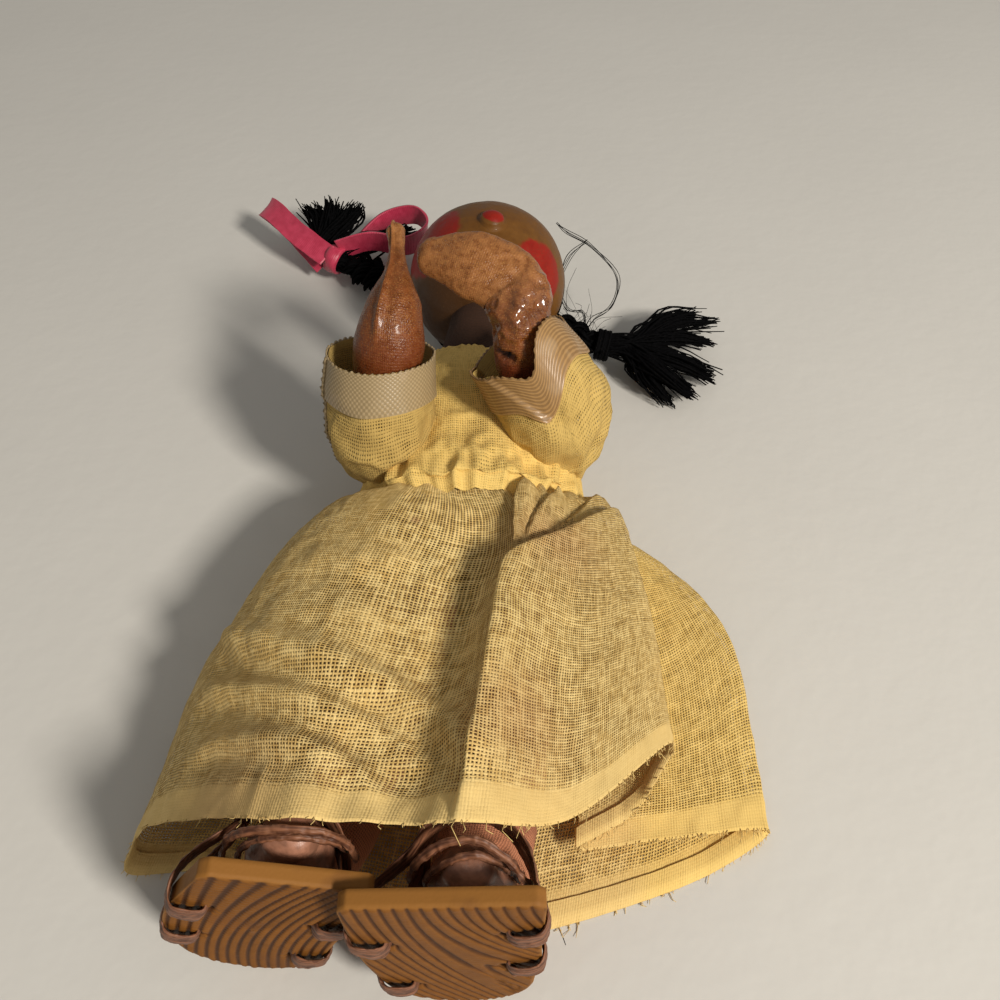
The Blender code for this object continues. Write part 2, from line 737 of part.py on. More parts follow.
def buildSleeve(side, gauze, ribbon):
    # the sleeve stops at the bodice, where it is sewn on, and a ribbon goes round its open end
    sleeve = limbs["sleeve_" + side]
    shape = (sleeve["path"], sleeve["halfWidths"], sleeve["halfDepths"], sleeve["across"], 16)
    length = (Vector(sleeve["path"][-1]) - Vector(sleeve["path"][0])).length * mm
    cuffStart = 1 - cuffWidth / length * 0.9
    clearOfBodice = closedBody("clearance", bodiceRings(gap))
    for name, rings, wall, material in (
            ("sleeve_", sweepRings(*shape, 6), gauzeWall, gauze),
            ("cuff_", sweepRings(*shape, 3, gap + cuffWall, cuffStart, 0.99), cuffWall, ribbon)):
        tube = clothTube(name + side, rings, wall, material)
        cutAway(tube, clearOfBodice, True)
        largestShell(tube)
    bpy.data.objects.remove(clearOfBodice)


# The doll

def clearScene():
    for item in list(bpy.data.objects):
        bpy.data.objects.remove(item)


def buildDoll():
    clearScene()
    gauze = addMaterial("YellowGauze", (0.72, 0.56, 0.2), 0.9)
    skin = addMaterial("VarnishedCloth", (0.28, 0.1, 0.04), 0.45)
    paint = addMaterial("FacePaint", (0.22, 0.13, 0.04), 0.3)
    yarn = addMaterial("BlackYarn", (0.01, 0.01, 0.012), 0.8)
    stuffing = addMaterial("PinkCloth", (0.32, 0.14, 0.11), 0.9)
    rubber = addMaterial("TanSole", (0.42, 0.19, 0.06), 0.7)
    leather = addMaterial("StrapLeather", (0.2, 0.08, 0.04), 0.6)
    cream = addMaterial("CreamRibbon", (0.7, 0.58, 0.4), 0.5)
    magenta = addMaterial("MagentaRibbon", (0.55, 0.03, 0.12), 0.45)

    torso = buildTorso(stuffing)
    buildHead(paint)
    hair = buildHair(yarn)
    cutAway(torso, headBall(headRadius + gap))
    largestShell(torso)
    cutAway(hair, closedBody("clearance", neckRings(gap, bodiceSides)))
    largestShell(hair)

    clothTube("skirt", skirtRings(), skirtWall, gauze)
    bodice = clothTube("bodice", bodiceRings(), gauzeWall, gauze)

    for side in ("left", "right"):
        arm = limbs["arm_" + side]
        armBody = roundedBody("arm_" + side, arm, 10, 14, skin)
        cutAway(armBody, closedBody("clearance", bodiceRings(-gauzeWall, -shoulderInset)))
        largestShell(armBody)
        cutAway(bodice, roundedBody("clearance", arm, 10, 14, None, gap))
        buildSleeve(side, gauze, cream)

    largestShell(bodice)
    legs = {side: roundedBody("leg_" + side, limbs["leg_" + side], 10, 13, stuffing)
            for side in ("left", "right")}
    buildSandals(rubber, leather, legs)

    bow = tieRing("hair_ribbon", braids["left"], bowTieWall, magenta)
    fuse([bow] + [ribbonLoop(loop, braids["left"]) for loop in bowLoops])
    for side in ("left", "right"):
        braid = buildBraid("braid_" + side, braids[side], yarn)
        cutAway(braid, headBall(headRadius + hairThickness + hairLocks + gap * 3.5))
        if side == "left":
            for loop in bowLoops:
                cutAway(braid, ribbonLoop(loop, braids["left"], gap))
        largestShell(braid)
    tieRing("hair_tie_right", braids["right"], tieWall, yarn)
    for item in bpy.data.objects:
        item.data.transform(Matrix.Translation((0, waistPlace, 0)))


buildDoll()
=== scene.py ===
import math
import random

import bpy
import numpy as np
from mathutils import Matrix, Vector


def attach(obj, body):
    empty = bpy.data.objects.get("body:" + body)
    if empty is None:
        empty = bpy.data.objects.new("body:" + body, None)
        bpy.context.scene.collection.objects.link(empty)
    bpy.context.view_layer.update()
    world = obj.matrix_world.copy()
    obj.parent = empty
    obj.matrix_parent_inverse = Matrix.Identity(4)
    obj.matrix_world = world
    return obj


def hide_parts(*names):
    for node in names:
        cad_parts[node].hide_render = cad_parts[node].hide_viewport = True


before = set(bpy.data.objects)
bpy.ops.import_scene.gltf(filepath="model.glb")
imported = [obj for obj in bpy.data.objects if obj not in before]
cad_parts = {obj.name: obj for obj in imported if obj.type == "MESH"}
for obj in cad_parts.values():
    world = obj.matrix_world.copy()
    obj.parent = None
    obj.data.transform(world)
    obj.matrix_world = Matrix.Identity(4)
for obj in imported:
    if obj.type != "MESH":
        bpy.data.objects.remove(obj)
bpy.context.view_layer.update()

# Places are in millimetres, measured from the waist of the dress: x to the right of the picture,
# y towards the head, z up. The model's origin lies 20 mm below the waist.
mm = 0.001
waistPlace = np.array([0.0, 20.0, 0.0])
lowest = 0.15               # cloth that lies on the table stays this far above it
lowestThread = 0.05         # and so does yarn
doll = bpy.data.collections.new("Doll")
bpy.context.scene.collection.children.link(doll)


# Camera and light

view = {
    "eye": (7.5, -137.0, 177.0),
    "downwards": 49.0,
    "lens": 36.0,
    "keyFrom": (0.62, -0.66, 0.74),
    "keyDistance": 1.1,
    "keySize": 0.17,
    "keyPower": 13.4,
    "keyColour": (1.0, 0.955, 0.88),
    "fillColour": (0.86, 0.85, 0.82),
    "fillStrength": 0.33,
    "floorColour": (0.60, 0.575, 0.53),
}


def toWorld(points):
    return (np.asarray(points, float) + waistPlace) * mm


def aimedAt(item, target):
    item.rotation_euler = (Vector(target) - item.location).to_track_quat("-Z", "Y").to_euler()


def setUpView():
    camera = bpy.data.cameras.new("Camera")
    camera.lens = view["lens"]
    camera.sensor_width = view["lens"]
    camera.clip_start = 0.005
    eye = bpy.data.objects.new("Camera", camera)
    eye.location = toWorld(view["eye"])
    eye.rotation_euler = (math.radians(90 - view["downwards"]), 0, 0)
    bpy.context.scene.collection.objects.link(eye)
    bpy.context.scene.camera = eye
    bpy.context.scene.view_settings.view_transform = "Standard"

    key = bpy.data.lights.new("Key", "AREA")
    key.energy = view["keyPower"]
    key.size = view["keySize"]
    key.color = view["keyColour"]
    lamp = bpy.data.objects.new("Key", key)
    lamp.location = Vector(view["keyFrom"]).normalized() * view["keyDistance"]
    bpy.context.scene.collection.objects.link(lamp)
    aimedAt(lamp, (0, 0, 0.02))

    world = bpy.data.worlds.new("Studio")
    world.use_nodes = True
    background = world.node_tree.nodes["Background"]
    background.inputs["Color"].default_value = (*view["fillColour"], 1)
    background.inputs["Strength"].default_value = view["fillStrength"]
    bpy.context.scene.world = world


# Numbers and curves

def smooth(value):
    # 0 below zero, 1 above one, with a soft rise between them
    value = np.clip(value, 0.0, 1.0)
    return value * value * (3 - 2 * value)


def span(before, start, end, after, share):
    # centripetal Catmull-Rom between start and end, for whole arrays of points
    def knot(first, second):
        return np.maximum(np.linalg.norm(second - first, axis=-1, keepdims=True), 1e-4) ** 0.5
    k1 = knot(before, start)
    k2 = k1 + knot(start, end)
    k3 = k2 + knot(end, after)
    x = k1 + (k2 - k1) * share
    a1 = before + (start - before) * x / k1
    a2 = start + (end - start) * (x - k1) / (k2 - k1)
    a3 = end + (after - end) * (x - k2) / (k3 - k2)
    b1 = a1 + (a2 - a1) * x / k2
    b2 = a2 + (a3 - a2) * (x - k1) / (k3 - k1)
    return b1 + (b2 - b1) * (x - k1) / (k2 - k1)


def along(points, shares):
    # places along a line of points (or a whole row of lines at once), one for each share
    points = np.asarray(points, float)
    flat = points.ndim == 1
    if flat:
        points = points[:, None]
    ends = np.concatenate([points[:1] * 2 - points[1:2], points, points[-1:] * 2 - points[-2:-1]])
    spans = len(points) - 1
    result = []
    for share in np.clip(np.atleast_1d(shares), 0, 1):
        index = min(int(share * spans), spans - 1)
        result.append(span(*ends[index:index + 4], share * spans - index))
    result = np.array(result)
    return result[..., 0] if flat else result


def closedLoops(rows, perSpan):
    # rows of points, each row closed to a smooth loop
    count = rows.shape[1]
    steps = (np.arange(perSpan) / perSpan)[None, :, None]
    pieces = []
    for index in range(count):
        around = [rows[:, (index + step) % count][:, None] for step in (-1, 0, 1, 2)]
        pieces.append(span(*around, steps))
    return np.concatenate(pieces, axis=1)


def softNoise(points, size, seed):
    # smooth noise from -1 to 1 with bumps of the given size, in as many dimensions as the points
    points = np.asarray(points, float)
    table = np.random.default_rng(seed).uniform(-1, 1, 8192)
    place = points / size
    cell = np.floor(place).astype(np.int64)
    part = place - cell
    part = part * part * part * (part * (part * 6 - 15) + 10)
    primes = np.array([73856093, 19349663, 83492791])[:points.shape[-1]]
    total = np.zeros(points.shape[:-1])
    for corner in np.ndindex(*(2,) * points.shape[-1]):
        corner = np.array(corner)
        weight = np.prod(np.where(corner == 1, part, 1 - part), axis=-1)
        total += weight * table[((cell + corner) * primes).sum(-1) & 8191]
    return total


def lineNoise(values, size, seed):
    # the same for plain numbers
    return softNoise(np.asarray(values, float)[..., None], size, seed)


def roundNoise(turn, down, radius, stretch, seed):
    # noise that closes round the waist and changes slowly on the way down
    x = np.cos(turn) * radius + down * stretch
    return softNoise(np.stack([x, np.sin(turn) * radius + 0 * down], -1), 1.0, seed)


def wrinkles(points, size, seed):
    # sharp narrow folds between soft swellings, about -1 to 1
    return 1 - 2.4 * np.abs(softNoise(points, size, seed) + 0.4 * softNoise(points, size * 0.45, seed + 1))


def unit(vectors):
    return vectors / np.maximum(np.linalg.norm(vectors, axis=-1, keepdims=True), 1e-9)


def bell(value, width=1.0, power=2):
    # 1 at zero, fading out over the width, with a flatter top for a higher power
    return np.exp(-(value / width) ** power)


def gridNormals(grid):
    # outward directions at the points of a closed grid
    down = np.gradient(grid, axis=0)
    around = np.roll(grid, -1, axis=1) - np.roll(grid, 1, axis=1)
    normals = unit(np.cross(around, down))
    middle = grid.mean(axis=1, keepdims=True)
    if (normals * (grid - middle)).sum() < 0:
        normals = -normals
    return normals


def raised(grid, lift):
    # the points moved outwards, each by its own lift
    return grid + gridNormals(grid) * np.asarray(lift)[..., None]


def rotation(axis, degrees):
    # matrix for points in columns
    sine, cosine = math.sin(math.radians(degrees)), math.cos(math.radians(degrees))
    first, second = {"X": (1, 2), "Y": (2, 0), "Z": (0, 1)}[axis]
    made = np.eye(3)
    made[first, first] = made[second, second] = cosine
    made[first, second], made[second, first] = -sine, sine
    return made


def lengths(grid, axis):
    steps = np.linalg.norm(np.diff(grid, axis=axis), axis=-1)
    total = np.cumsum(steps, axis=axis)
    start = np.zeros_like(np.take(total, [0], axis=axis))
    return np.concatenate([start, total], axis=axis)


def evenly(line, count):
    # the same line with evenly spaced points
    line = np.asarray(line, float)
    length = lengths(line, 0)
    places = np.linspace(0, length[-1], count)
    return np.stack([np.interp(places, length, line[:, axis]) for axis in range(3)], axis=-1)


def flatLimb(path, across, halfWidth, halfDepth):
    # the same flat section all along a path
    return {"path": path, "across": across, "halfWidths": [halfWidth] * len(path),
            "halfDepths": [halfDepth] * len(path)}


def sweep(limb, sides, rows, grow=0.0, turn=0.5):
    # oval sections across a smooth middle line
    shares = np.linspace(0, 1, rows)
    centres = along(limb["path"], shares)
    ahead, behind = np.minimum(shares + 0.01, 1), np.maximum(shares - 0.01, 0)
    tangents = unit(along(limb["path"], ahead) - along(limb["path"], behind))
    across = np.asarray(limb["across"], float)
    side = unit(across - tangents * (tangents @ across)[:, None])
    normal = np.cross(tangents, side)
    widths = along(limb["halfWidths"], shares) + grow
    depths = along(limb["halfDepths"], shares) + grow
    angles = math.tau * (np.arange(sides) + turn) / sides
    return (centres[:, None] + side[:, None] * (np.cos(angles)[None, :, None] * widths[:, None, None]) +
            normal[:, None] * (np.sin(angles)[None, :, None] * depths[:, None, None]))


def domed(grid, steps=7, depth=0.8):
    # rounds off both ends of a swept body
    def dome(ring, inner):
        middle = ring.mean(axis=0)
        out = unit(middle - inner.mean(axis=0))
        radius = np.linalg.norm(ring - middle, axis=-1).max()
        rings = []
        for step in range(1, steps + 1):
            angle = math.pi / 2 * step / steps * 0.985
            rings.append(middle + (ring - middle) * math.cos(angle) + out * radius * depth * math.sin(angle))
        return rings
    start = dome(grid[0], grid[1])[::-1]
    end = dome(grid[-1], grid[-2])
    return np.concatenate([np.array(start), grid, np.array(end)])


def scatter(*sizes):
    # a random offset, one size for each direction
    return np.array([random.gauss(0, size) for size in sizes])


# Meshes

def addPiece(name, points, faces, material, nodes=(), uvs=None):
    mesh = bpy.data.meshes.new(name)
    mesh.from_pydata(toWorld(points).tolist(), [], faces)
    mesh.shade_smooth()
    if uvs is not None:
        mesh.uv_layers.new(name="Weave").data.foreach_set("uv", np.asarray(uvs, np.float32).ravel())
    mesh.materials.append(material)
    piece = bpy.data.objects.new(name, mesh)
    doll.objects.link(piece)
    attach(piece, "root")
    if nodes:
        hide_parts(*nodes)
    return piece


def gridFaces(rows, columns, offset=0):
    # the last column joins the first
    row, column = np.meshgrid(np.arange(rows - 1), np.arange(columns), indexing="ij")
    following = (column + 1) % columns
    quads = np.stack([row * columns + column, row * columns + following,
                      (row + 1) * columns + following, (row + 1) * columns + column], axis=-1)
    return quads.reshape(-1, 4) + offset


def endFaces(rows, columns, offset=0):
    # one face over each open end
    last = offset + (rows - 1) * columns
    return [list(range(offset, offset + columns))[::-1], list(range(last, last + columns))]


def gridUvs(uv):
    # corners of each face, from one more column of places than of points
    corners = np.stack([uv[:-1, :-1], uv[:-1, 1:], uv[1:, 1:], uv[1:, :-1]], axis=2)
    return corners.reshape(-1, 2)


def weavePlaces(grid, wide=None, tall=None):
    # places on the flat cloth in millimetres: across from the widest row, along from the mean length
    acrossRow = lengths(np.concatenate([grid, grid[:, :1]], axis=1), 1)
    widest = acrossRow[np.argmax(acrossRow[:, -1])]
    if wide:
        widest = widest * wide / widest[-1]
    down = lengths(grid, 0).mean(axis=1)
    if tall:
        down = down * tall / down[-1]
    return np.stack(np.broadcast_arrays(widest[None, :], down[:, None]), axis=-1)


def gridPiece(name, grid, material, nodes=(), capped=False, uv=None):
    rows, columns = grid.shape[:2]
    uvs = gridUvs(weavePlaces(grid) if uv is None else uv)
    points = grid.reshape(-1, 3)
    faces = gridFaces(rows, columns).tolist()
    if capped:
        points = np.concatenate([points, [grid[0].mean(axis=0), grid[-1].mean(axis=0)]])
        for end, first in ((0, 0), (1, (rows - 1) * columns)):
            for column in range(columns):
                edge = [first + column, first + (column + 1) % columns]
                faces.append([*(edge[::-1] if end == 0 else edge), rows * columns + end])
        uvs = np.concatenate([uvs, np.zeros((2 * columns * 3, 2))])
    piece = addPiece(name, points, faces, material, nodes, uvs)
    first = np.cross(np.roll(grid, -1, axis=1)[:-1] - grid[:-1], grid[1:] - grid[:-1])
    middle = grid.mean(axis=1, keepdims=True)[:-1]
    if (first * (grid[:-1] - middle)).sum() < 0:
        piece.data.flip_normals()               # the grid runs the other way round
    return piece


def joinedPiece(name, grids, material, nodes):
    # several closed grids in one mesh, with a face over each end that stays open
    faces, uvs, count = [], [], 0
    for grid in grids:
        rows, columns = grid.shape[:2]
        faces += gridFaces(rows, columns, count).tolist()
        uvs.append(gridUvs(weavePlaces(grid)))
        if not np.allclose(grid[0], grid[-1]):
            faces += endFaces(rows, columns, count)
            uvs.append(np.zeros((2 * columns, 2)))
        count += rows * columns
    points = np.concatenate([grid.reshape(-1, 3) for grid in grids])
    points[:, 2] = np.maximum(points[:, 2], lowest)
    addPiece(name, points, faces, material, nodes, np.concatenate(uvs))


def strandPiece(name, lines, radii, material, nodes=(), sides=4):
    # many thin round threads in one mesh; each radius may taper along its thread
    allPoints, allFaces, allUvs, count = [], [], [], 0
    for index, line in enumerate(lines):
        line = np.asarray(line, float)
        radius = np.broadcast_to(np.asarray(radii[index], float), (len(line),))
        tangent = unit(np.gradient(line, axis=0))
        side = np.cross(tangent, (0.31, 0.17, 0.93))
        weak = np.linalg.norm(side, axis=-1) < 0.1
        side[weak] = np.cross(tangent[weak], (0.9, 0.3, 0.1))
        side = unit(side)
        other = np.cross(tangent, side)
        angles = math.tau * np.arange(sides) / sides
        ring = (line[:, None] + side[:, None] * (np.cos(angles)[None, :, None] * radius[:, None, None]) +
                other[:, None] * (np.sin(angles)[None, :, None] * radius[:, None, None]))
        allPoints.append(ring.reshape(-1, 3))
        allFaces += gridFaces(len(line), sides, count).tolist() + endFaces(len(line), sides, count)
        length = lengths(line, 0)
        turns = np.arange(sides + 1) / sides + index
        allUvs.append(gridUvs(np.stack(np.broadcast_arrays(turns[None, :], length[:, None]), axis=-1)))
        allUvs.append(np.tile([index, 0.0], (sides, 1)))
        allUvs.append(np.tile([index, length[-1]], (sides, 1)))
        count += len(line) * sides
    points = np.concatenate(allPoints)
    points[:, 2] = np.maximum(points[:, 2], lowestThread)
    return addPiece(name, points, allFaces, material, nodes, np.concatenate(allUvs))


def paintMasks(piece, shape, **masks):
    # a value for each point, which the material reads under the mask's name
    for name, values in masks.items():
        values = np.broadcast_to(values, shape).ravel()
        filled = np.zeros(len(piece.data.vertices), np.float32)
        filled[:len(values)] = values
        piece.data.attributes.new(name, "FLOAT", "POINT").data.foreach_set("value", filled)


# Material nodes

def addNode(tree, kind, inputs=None, **settings):
    made = tree.nodes.new("ShaderNode" + kind)
    for key, value in settings.items():
        setattr(made, key, value)
    for key, value in (inputs or {}).items():
        if isinstance(value, bpy.types.NodeSocket):
            tree.links.new(value, made.inputs[key])
        else:
            made.inputs[key].default_value = value
    return made


def maths(tree, operation, *values, clamp=False):
    return addNode(tree, "Math", dict(enumerate(values)), operation=operation, use_clamp=clamp).outputs[0]


def times(tree, first, second):
    return maths(tree, "MULTIPLY", first, second)


def plus(tree, first, second):
    return maths(tree, "ADD", first, second)


def minus(tree, first, second):
    return maths(tree, "SUBTRACT", first, second)


def vectorMaths(tree, operation, first, second):
    return addNode(tree, "VectorMath", {0: first, 1: second}, operation=operation).outputs[0]


def scaled(tree, vector, factor):
    return addNode(tree, "VectorMath", {0: vector, "Scale": factor}, operation="SCALE").outputs[0]


def mixed(tree, factor, first, second, blend="MIX"):
    colours = [(*colour, 1) if isinstance(colour, tuple) else colour for colour in (first, second)]
    return addNode(tree, "Mix", {0: factor, 6: colours[0], 7: colours[1]}, data_type="RGBA",
                   blend_type=blend).outputs[2]


def between(tree, factor, first, second):
    # the same mix for plain numbers
    return addNode(tree, "Mix", {0: factor, 2: first, 3: second}).outputs[0]


def noiseOf(tree, vector, scale, detail=3.0, rough=0.55):
    return addNode(tree, "TexNoise", {"Vector": vector, "Scale": scale, "Detail": detail,
                                      "Roughness": rough}).outputs["Fac"]


def remap(tree, value, low, high, toLow=0.0, toHigh=1.0):
    # a soft step from one range of values to another
    return addNode(tree, "MapRange", {0: value, 1: low, 2: high, 3: toLow, 4: toHigh},
                   interpolation_type="SMOOTHSTEP").outputs[0]


def maskOf(tree, name):
    return addNode(tree, "Attribute", attribute_name=name).outputs["Fac"]


def inMillimetres(tree):
    return scaled(tree, addNode(tree, "TexCoord").outputs["Object"], 1 / mm)


def weaveMap(tree):
    return addNode(tree, "UVMap", uv_map="Weave").outputs[0]


def newGroup(name, inputs, outputs):
    group = bpy.data.node_groups.new(name, "ShaderNodeTree")
    for label, value in inputs.items():
        kind = "NodeSocketVector" if isinstance(value, tuple) else "NodeSocketFloat"
        socket = group.interface.new_socket(name=label, in_out="INPUT", socket_type=kind)
        socket.default_value = value
    for label in outputs:
        group.interface.new_socket(name=label, in_out="OUTPUT", socket_type="NodeSocketFloat")
    return group, group.nodes.new("NodeGroupInput").outputs


def sendOut(group, **values):
    sink = group.nodes.new("NodeGroupOutput").inputs
    for label, value in values.items():
        group.links.new(value, sink[label])
    return group


def placeGroup(tree, group, inputs):
    return addNode(tree, "Group", inputs, node_tree=group).outputs


def threadSet():
    # one set of side by side threads: how much they cover, their round height and a tone each
    group, source = newGroup("Thread set", {"Across": 0.0, "Along": 0.0, "Width": 0.7, "Uneven": 0.3},
                             ("Cover", "Height", "Tone", "Number"))
    index = maths(group, "FLOOR", source["Across"])
    middle = minus(group, maths(group, "FRACT", source["Across"]), 0.5)
    away = times(group, maths(group, "ABSOLUTE", middle), 2.0)
    tone = addNode(group, "TexWhiteNoise", {"W": index}, noise_dimensions="1D").outputs["Value"]
    place = addNode(group, "CombineXYZ", {0: times(group, index, 7.31),
                                          1: times(group, source["Along"], 0.16)}).outputs[0]
    slub = addNode(group, "TexNoise", {"Vector": place, "Scale": 1.0, "Detail": 1.0},
                   noise_dimensions="2D").outputs["Fac"]
    change = plus(group, minus(group, tone, 0.5), times(group, minus(group, slub, 0.5), 2.4))
    width = times(group, source["Width"], plus(group, 1.0, times(group, change, source["Uneven"])))
    cover = remap(group, minus(group, away, width), -0.12, 0.12, 1.0, 0.0)
    share = maths(group, "DIVIDE", away, maths(group, "MAXIMUM", width, 0.05))
    roundness = maths(group, "SUBTRACT", 1.0, times(group, share, share), clamp=True)
    return sendOut(group, Cover=cover, Height=roundness, Tone=slub, Number=index)


def clothWeave(threads):
    # plain weave of two thread sets that pass over and under each other
    group, source = newGroup(
        "Cloth weave",
        {"Place": (0.0, 0.0, 0.0), "Pitch": 0.9, "Width across": 0.6, "Width along": 0.6,
         "Uneven": 0.3, "Wander": 0.3},
        ("Cover", "Height", "Tone"))
    drift = addNode(group, "TexNoise", {"Vector": source["Place"], "Scale": 0.07, "Detail": 1.0},
                    noise_dimensions="2D").outputs["Color"]
    drift = scaled(group, vectorMaths(group, "SUBTRACT", drift, (0.5, 0.5, 0.5)),
                   times(group, source["Wander"], 6.0))
    parts = addNode(group, "SeparateXYZ", {0: vectorMaths(group, "ADD", source["Place"], drift)}).outputs
    across, down = (maths(group, "DIVIDE", part, source["Pitch"]) for part in parts[:2])
    warp = placeGroup(group, threads, {"Across": across, "Along": down, "Width": source["Width across"],
                                       "Uneven": source["Uneven"]})
    weft = placeGroup(group, threads, {"Across": down, "Along": across, "Width": source["Width along"],
                                       "Uneven": source["Uneven"]})
    crossing = maths(group, "ABSOLUTE", plus(group, warp["Number"], weft["Number"]))
    over = maths(group, "MODULO", crossing, 2.0)
    warpTop = times(group, warp["Height"], maths(group, "MULTIPLY_ADD", over, 0.45, 0.55))
    weftTop = times(group, weft["Height"], maths(group, "MULTIPLY_ADD", over, -0.45, 1.0))
    return sendOut(group, Cover=maths(group, "MAXIMUM", warp["Cover"], weft["Cover"]),
                   Height=maths(group, "MAXIMUM", warpTop, weftTop),
                   Tone=times(group, plus(group, warp["Tone"], weft["Tone"]), 0.5))


def agedSurface():
    # broad stains, fine speckle and a mottle between them
    group, source = newGroup("Aged surface", {"Place": (0.0, 0.0, 0.0), "Size": 12.0},
                             ("Stain", "Mottle", "Speckle"))
    near = scaled(group, source["Place"], maths(group, "DIVIDE", 1.0, source["Size"]))
    return sendOut(group, Stain=remap(group, noiseOf(group, near, 1.0, 2.0, 0.6), 0.52, 0.72),
                   Mottle=noiseOf(group, near, 4.0, 2.0, 0.6),
                   Speckle=remap(group, noiseOf(group, near, 26.0, 1.0, 0.5), 0.56, 0.68))


weaveGroup = clothWeave(threadSet())
agedGroup = agedSurface()


def wovenBy(tree, place, pitch, width, uneven, wander):
    return placeGroup(tree, weaveGroup, {"Place": place, "Pitch": pitch, "Width across": width,
                                         "Width along": width, "Uneven": uneven, "Wander": wander})


def agedBy(tree, place, size):
    return placeGroup(tree, agedGroup, {"Place": place, "Size": size})


def newMaterial(name, roughness, **fixed):
    material = bpy.data.materials.new(name)
    material.use_nodes = True
    tree = material.node_tree
    shader = tree.nodes["Principled BSDF"]
    shader.inputs["Roughness"].default_value = roughness
    for key, value in fixed.items():
        shader.inputs[key.replace("_", " ")].default_value = value
    return material, tree, shader.inputs


def bumped(tree, sockets, height, distance, strength=1.0):
    bump = addNode(tree, "Bump", {"Height": height, "Strength": strength, "Distance": distance * mm})
    tree.links.new(bump.outputs[0], sockets["Normal"])


print("Helpers and node groups are ready")
setUpView()


# Dress: skirt

skirt = {
    # from waist through hip and thigh to hem; round from the left fold over the front and back below
    "foldLines": (
        ((-24, 0, 7), (-38, -8, 5), (-50, -36, 5), (-56.6, -72.5, 5)),
        ((-27, -1, 15), (-35, -7, 15), (-47.5, -36, 14.5), (-53.8, -69.2, 12)),
        ((-21, -2, 25), (-27, -9, 26.5), (-37.5, -39, 29), (-40.5, -73.5, 29.5)),
        ((-10, -3.5, 30.5), (-13, -12, 32), (-21, -43, 36.5), (-24, -79.2, 43.5)),
        ((2, -6, 31.5), (4, -15, 32), (-1, -45, 35), (-8, -79.8, 42.8)),
        ((11, -6, 33), (11.5, -13, 35.5), (6.5, -41, 39.5), (3, -80.7, 45)),
        ((21, -2, 28.5), (23, -12, 31), (20.5, -42, 33), (17, -76, 34.5)),
        ((27, 0, 23), (31, -10, 25.5), (35, -34, 24.5), (36.3, -57.6, 23)),
        ((28.6, 0.6, 18.5), (30, -8.5, 18), (31, -34.5, 14), (29.8, -64.5, 9)),
        ((29.2, 0.8, 14.5), (28, -8, 12.5), (24.5, -36, 8.5), (20.9, -68.3, 4.8)),
        ((30, 1.2, 11), (34, -5, 8), (39, -35, 5), (38, -66.4, 5)),
        ((29, 2, 7), (42.5, -4.5, 4.2), (54.0, -22.5, 3.6), (55.4, -64.7, 3.6)),
        ((20, 2, -1), (31, -5, -1), (42, -33, -1), (36, -74.5, -1)),
        ((0, 1, -1), (0, -12, -1), (-3, -40, -1), (-10, -83.6, -1)),
        ((-14, 0, -1), (-24, -8, -1), (-37, -38, -1), (-47, -70.5, -1)),
    ),
    "waist": (-1.0, 2.0, 16.0, 21.5, 16.3),     # place, centre x and z, half width, half height
    "seamDip": 4.5,
    "rows": 170,
    "columnsPerFold": 28,
    "length": 85.0,                             # from waist to edge, along the cloth
    "flatSize": (345.0, 96.0),                  # before gathering, with the turned-up hem
    "flatWaist": 230.0,                         # the cut flares from here to the hem
    "hemTurn": 6.2,
    "hemGap": 0.45,
    "gathers": 46,
    "gatherHeight": 1.5,
    "gatherReach": 15.0,
    "crumple": 0.5,
    # soft rolls low on the left front, each with a dip on its lower side
    "rolls": (
        {"line": ((-50, -30), (-38, -40), (-26.6, -46.5), (-8.5, -56), (-0.3, -63.1), (3, -72)),
         "rise": 2.3, "half": 2.8, "dip": 2.0},
        {"line": ((-48, -46), (-32, -53.5), (-19.9, -58), (-8, -64.5), (-1.4, -73)),
         "rise": 1.9, "half": 2.3, "dip": 1.6},
        {"line": ((-44, -60), (-30, -63.5), (-18, -68), (-9, -74)), "rise": 1.1, "half": 1.9, "dip": 0.9},
        {"line": ((-30, -22), (-18, -27), (-8, -28)), "rise": 0.8, "half": 3.0, "dip": 0.7},
    ),
    # edges of folds on the front, seen from above, and how far they stand out
    "folds": (
        {"edge": ((1.0, -84), (3.4, -66), (5.4, -50.4), (7.0, -37.9), (8.7, -29.5), (11.5, -26.5),
                  (18.6, -20.4), (27, -12), (31, -8)),
         "rise": 0.9, "depth": 3.0, "step": 1.3, "reach": 10.0, "round": 5.0},
        {"edge": ((9.5, -27), (9.2, -20), (10.4, -10), (13.5, -2)),
         "rise": 0.7, "depth": 1.6, "step": 0.8, "reach": 4.0, "round": 2.0},
        {"edge": ((13.5, -21), (15.5, -14), (18.5, -7), (20.5, -1)),
         "rise": 0.6, "depth": 1.3, "step": 0.7, "reach": 2.6, "round": 2.0},
        {"edge": ((21, -15.5), (24, -10), (27, -3)),
         "rise": 0.5, "depth": 1.2, "step": 0.7, "reach": 2.6, "round": 2.0},
    ),
    # rust stains: place, radius, strength
    "stains": (((17, -22, 32), 9, 0.5), ((11, -62, 40), 9, 0.35), ((-33, -74, 35), 12, 0.3),
               ((-8.5, -16.5, 32), 0.9, 0.9)),
}
frays = {"threads": 700, "radii": (0.09, 0.075, 0.05), "thinLeftOf": 8, "thinned": 0.75, "short": (0.3, 1.1),
         "long": (1.2, 2.6), "shortShare": 0.93, "rooted": 0.3}


def waistPoints(points):
    place, centreX, centreZ, halfWidth, halfHeight = skirt["waist"]
    angle = np.arctan2((points[..., 2] - centreZ) / halfHeight, (points[..., 0] - centreX) / halfWidth)
    height = np.sin(angle)
    y = place - 0.3 - skirt["seamDip"] * np.maximum(height, 0) ** 2
    z = np.maximum(centreZ + halfHeight * height, 0)
    return np.stack([centreX + halfWidth * np.cos(angle), y, z], axis=-1)


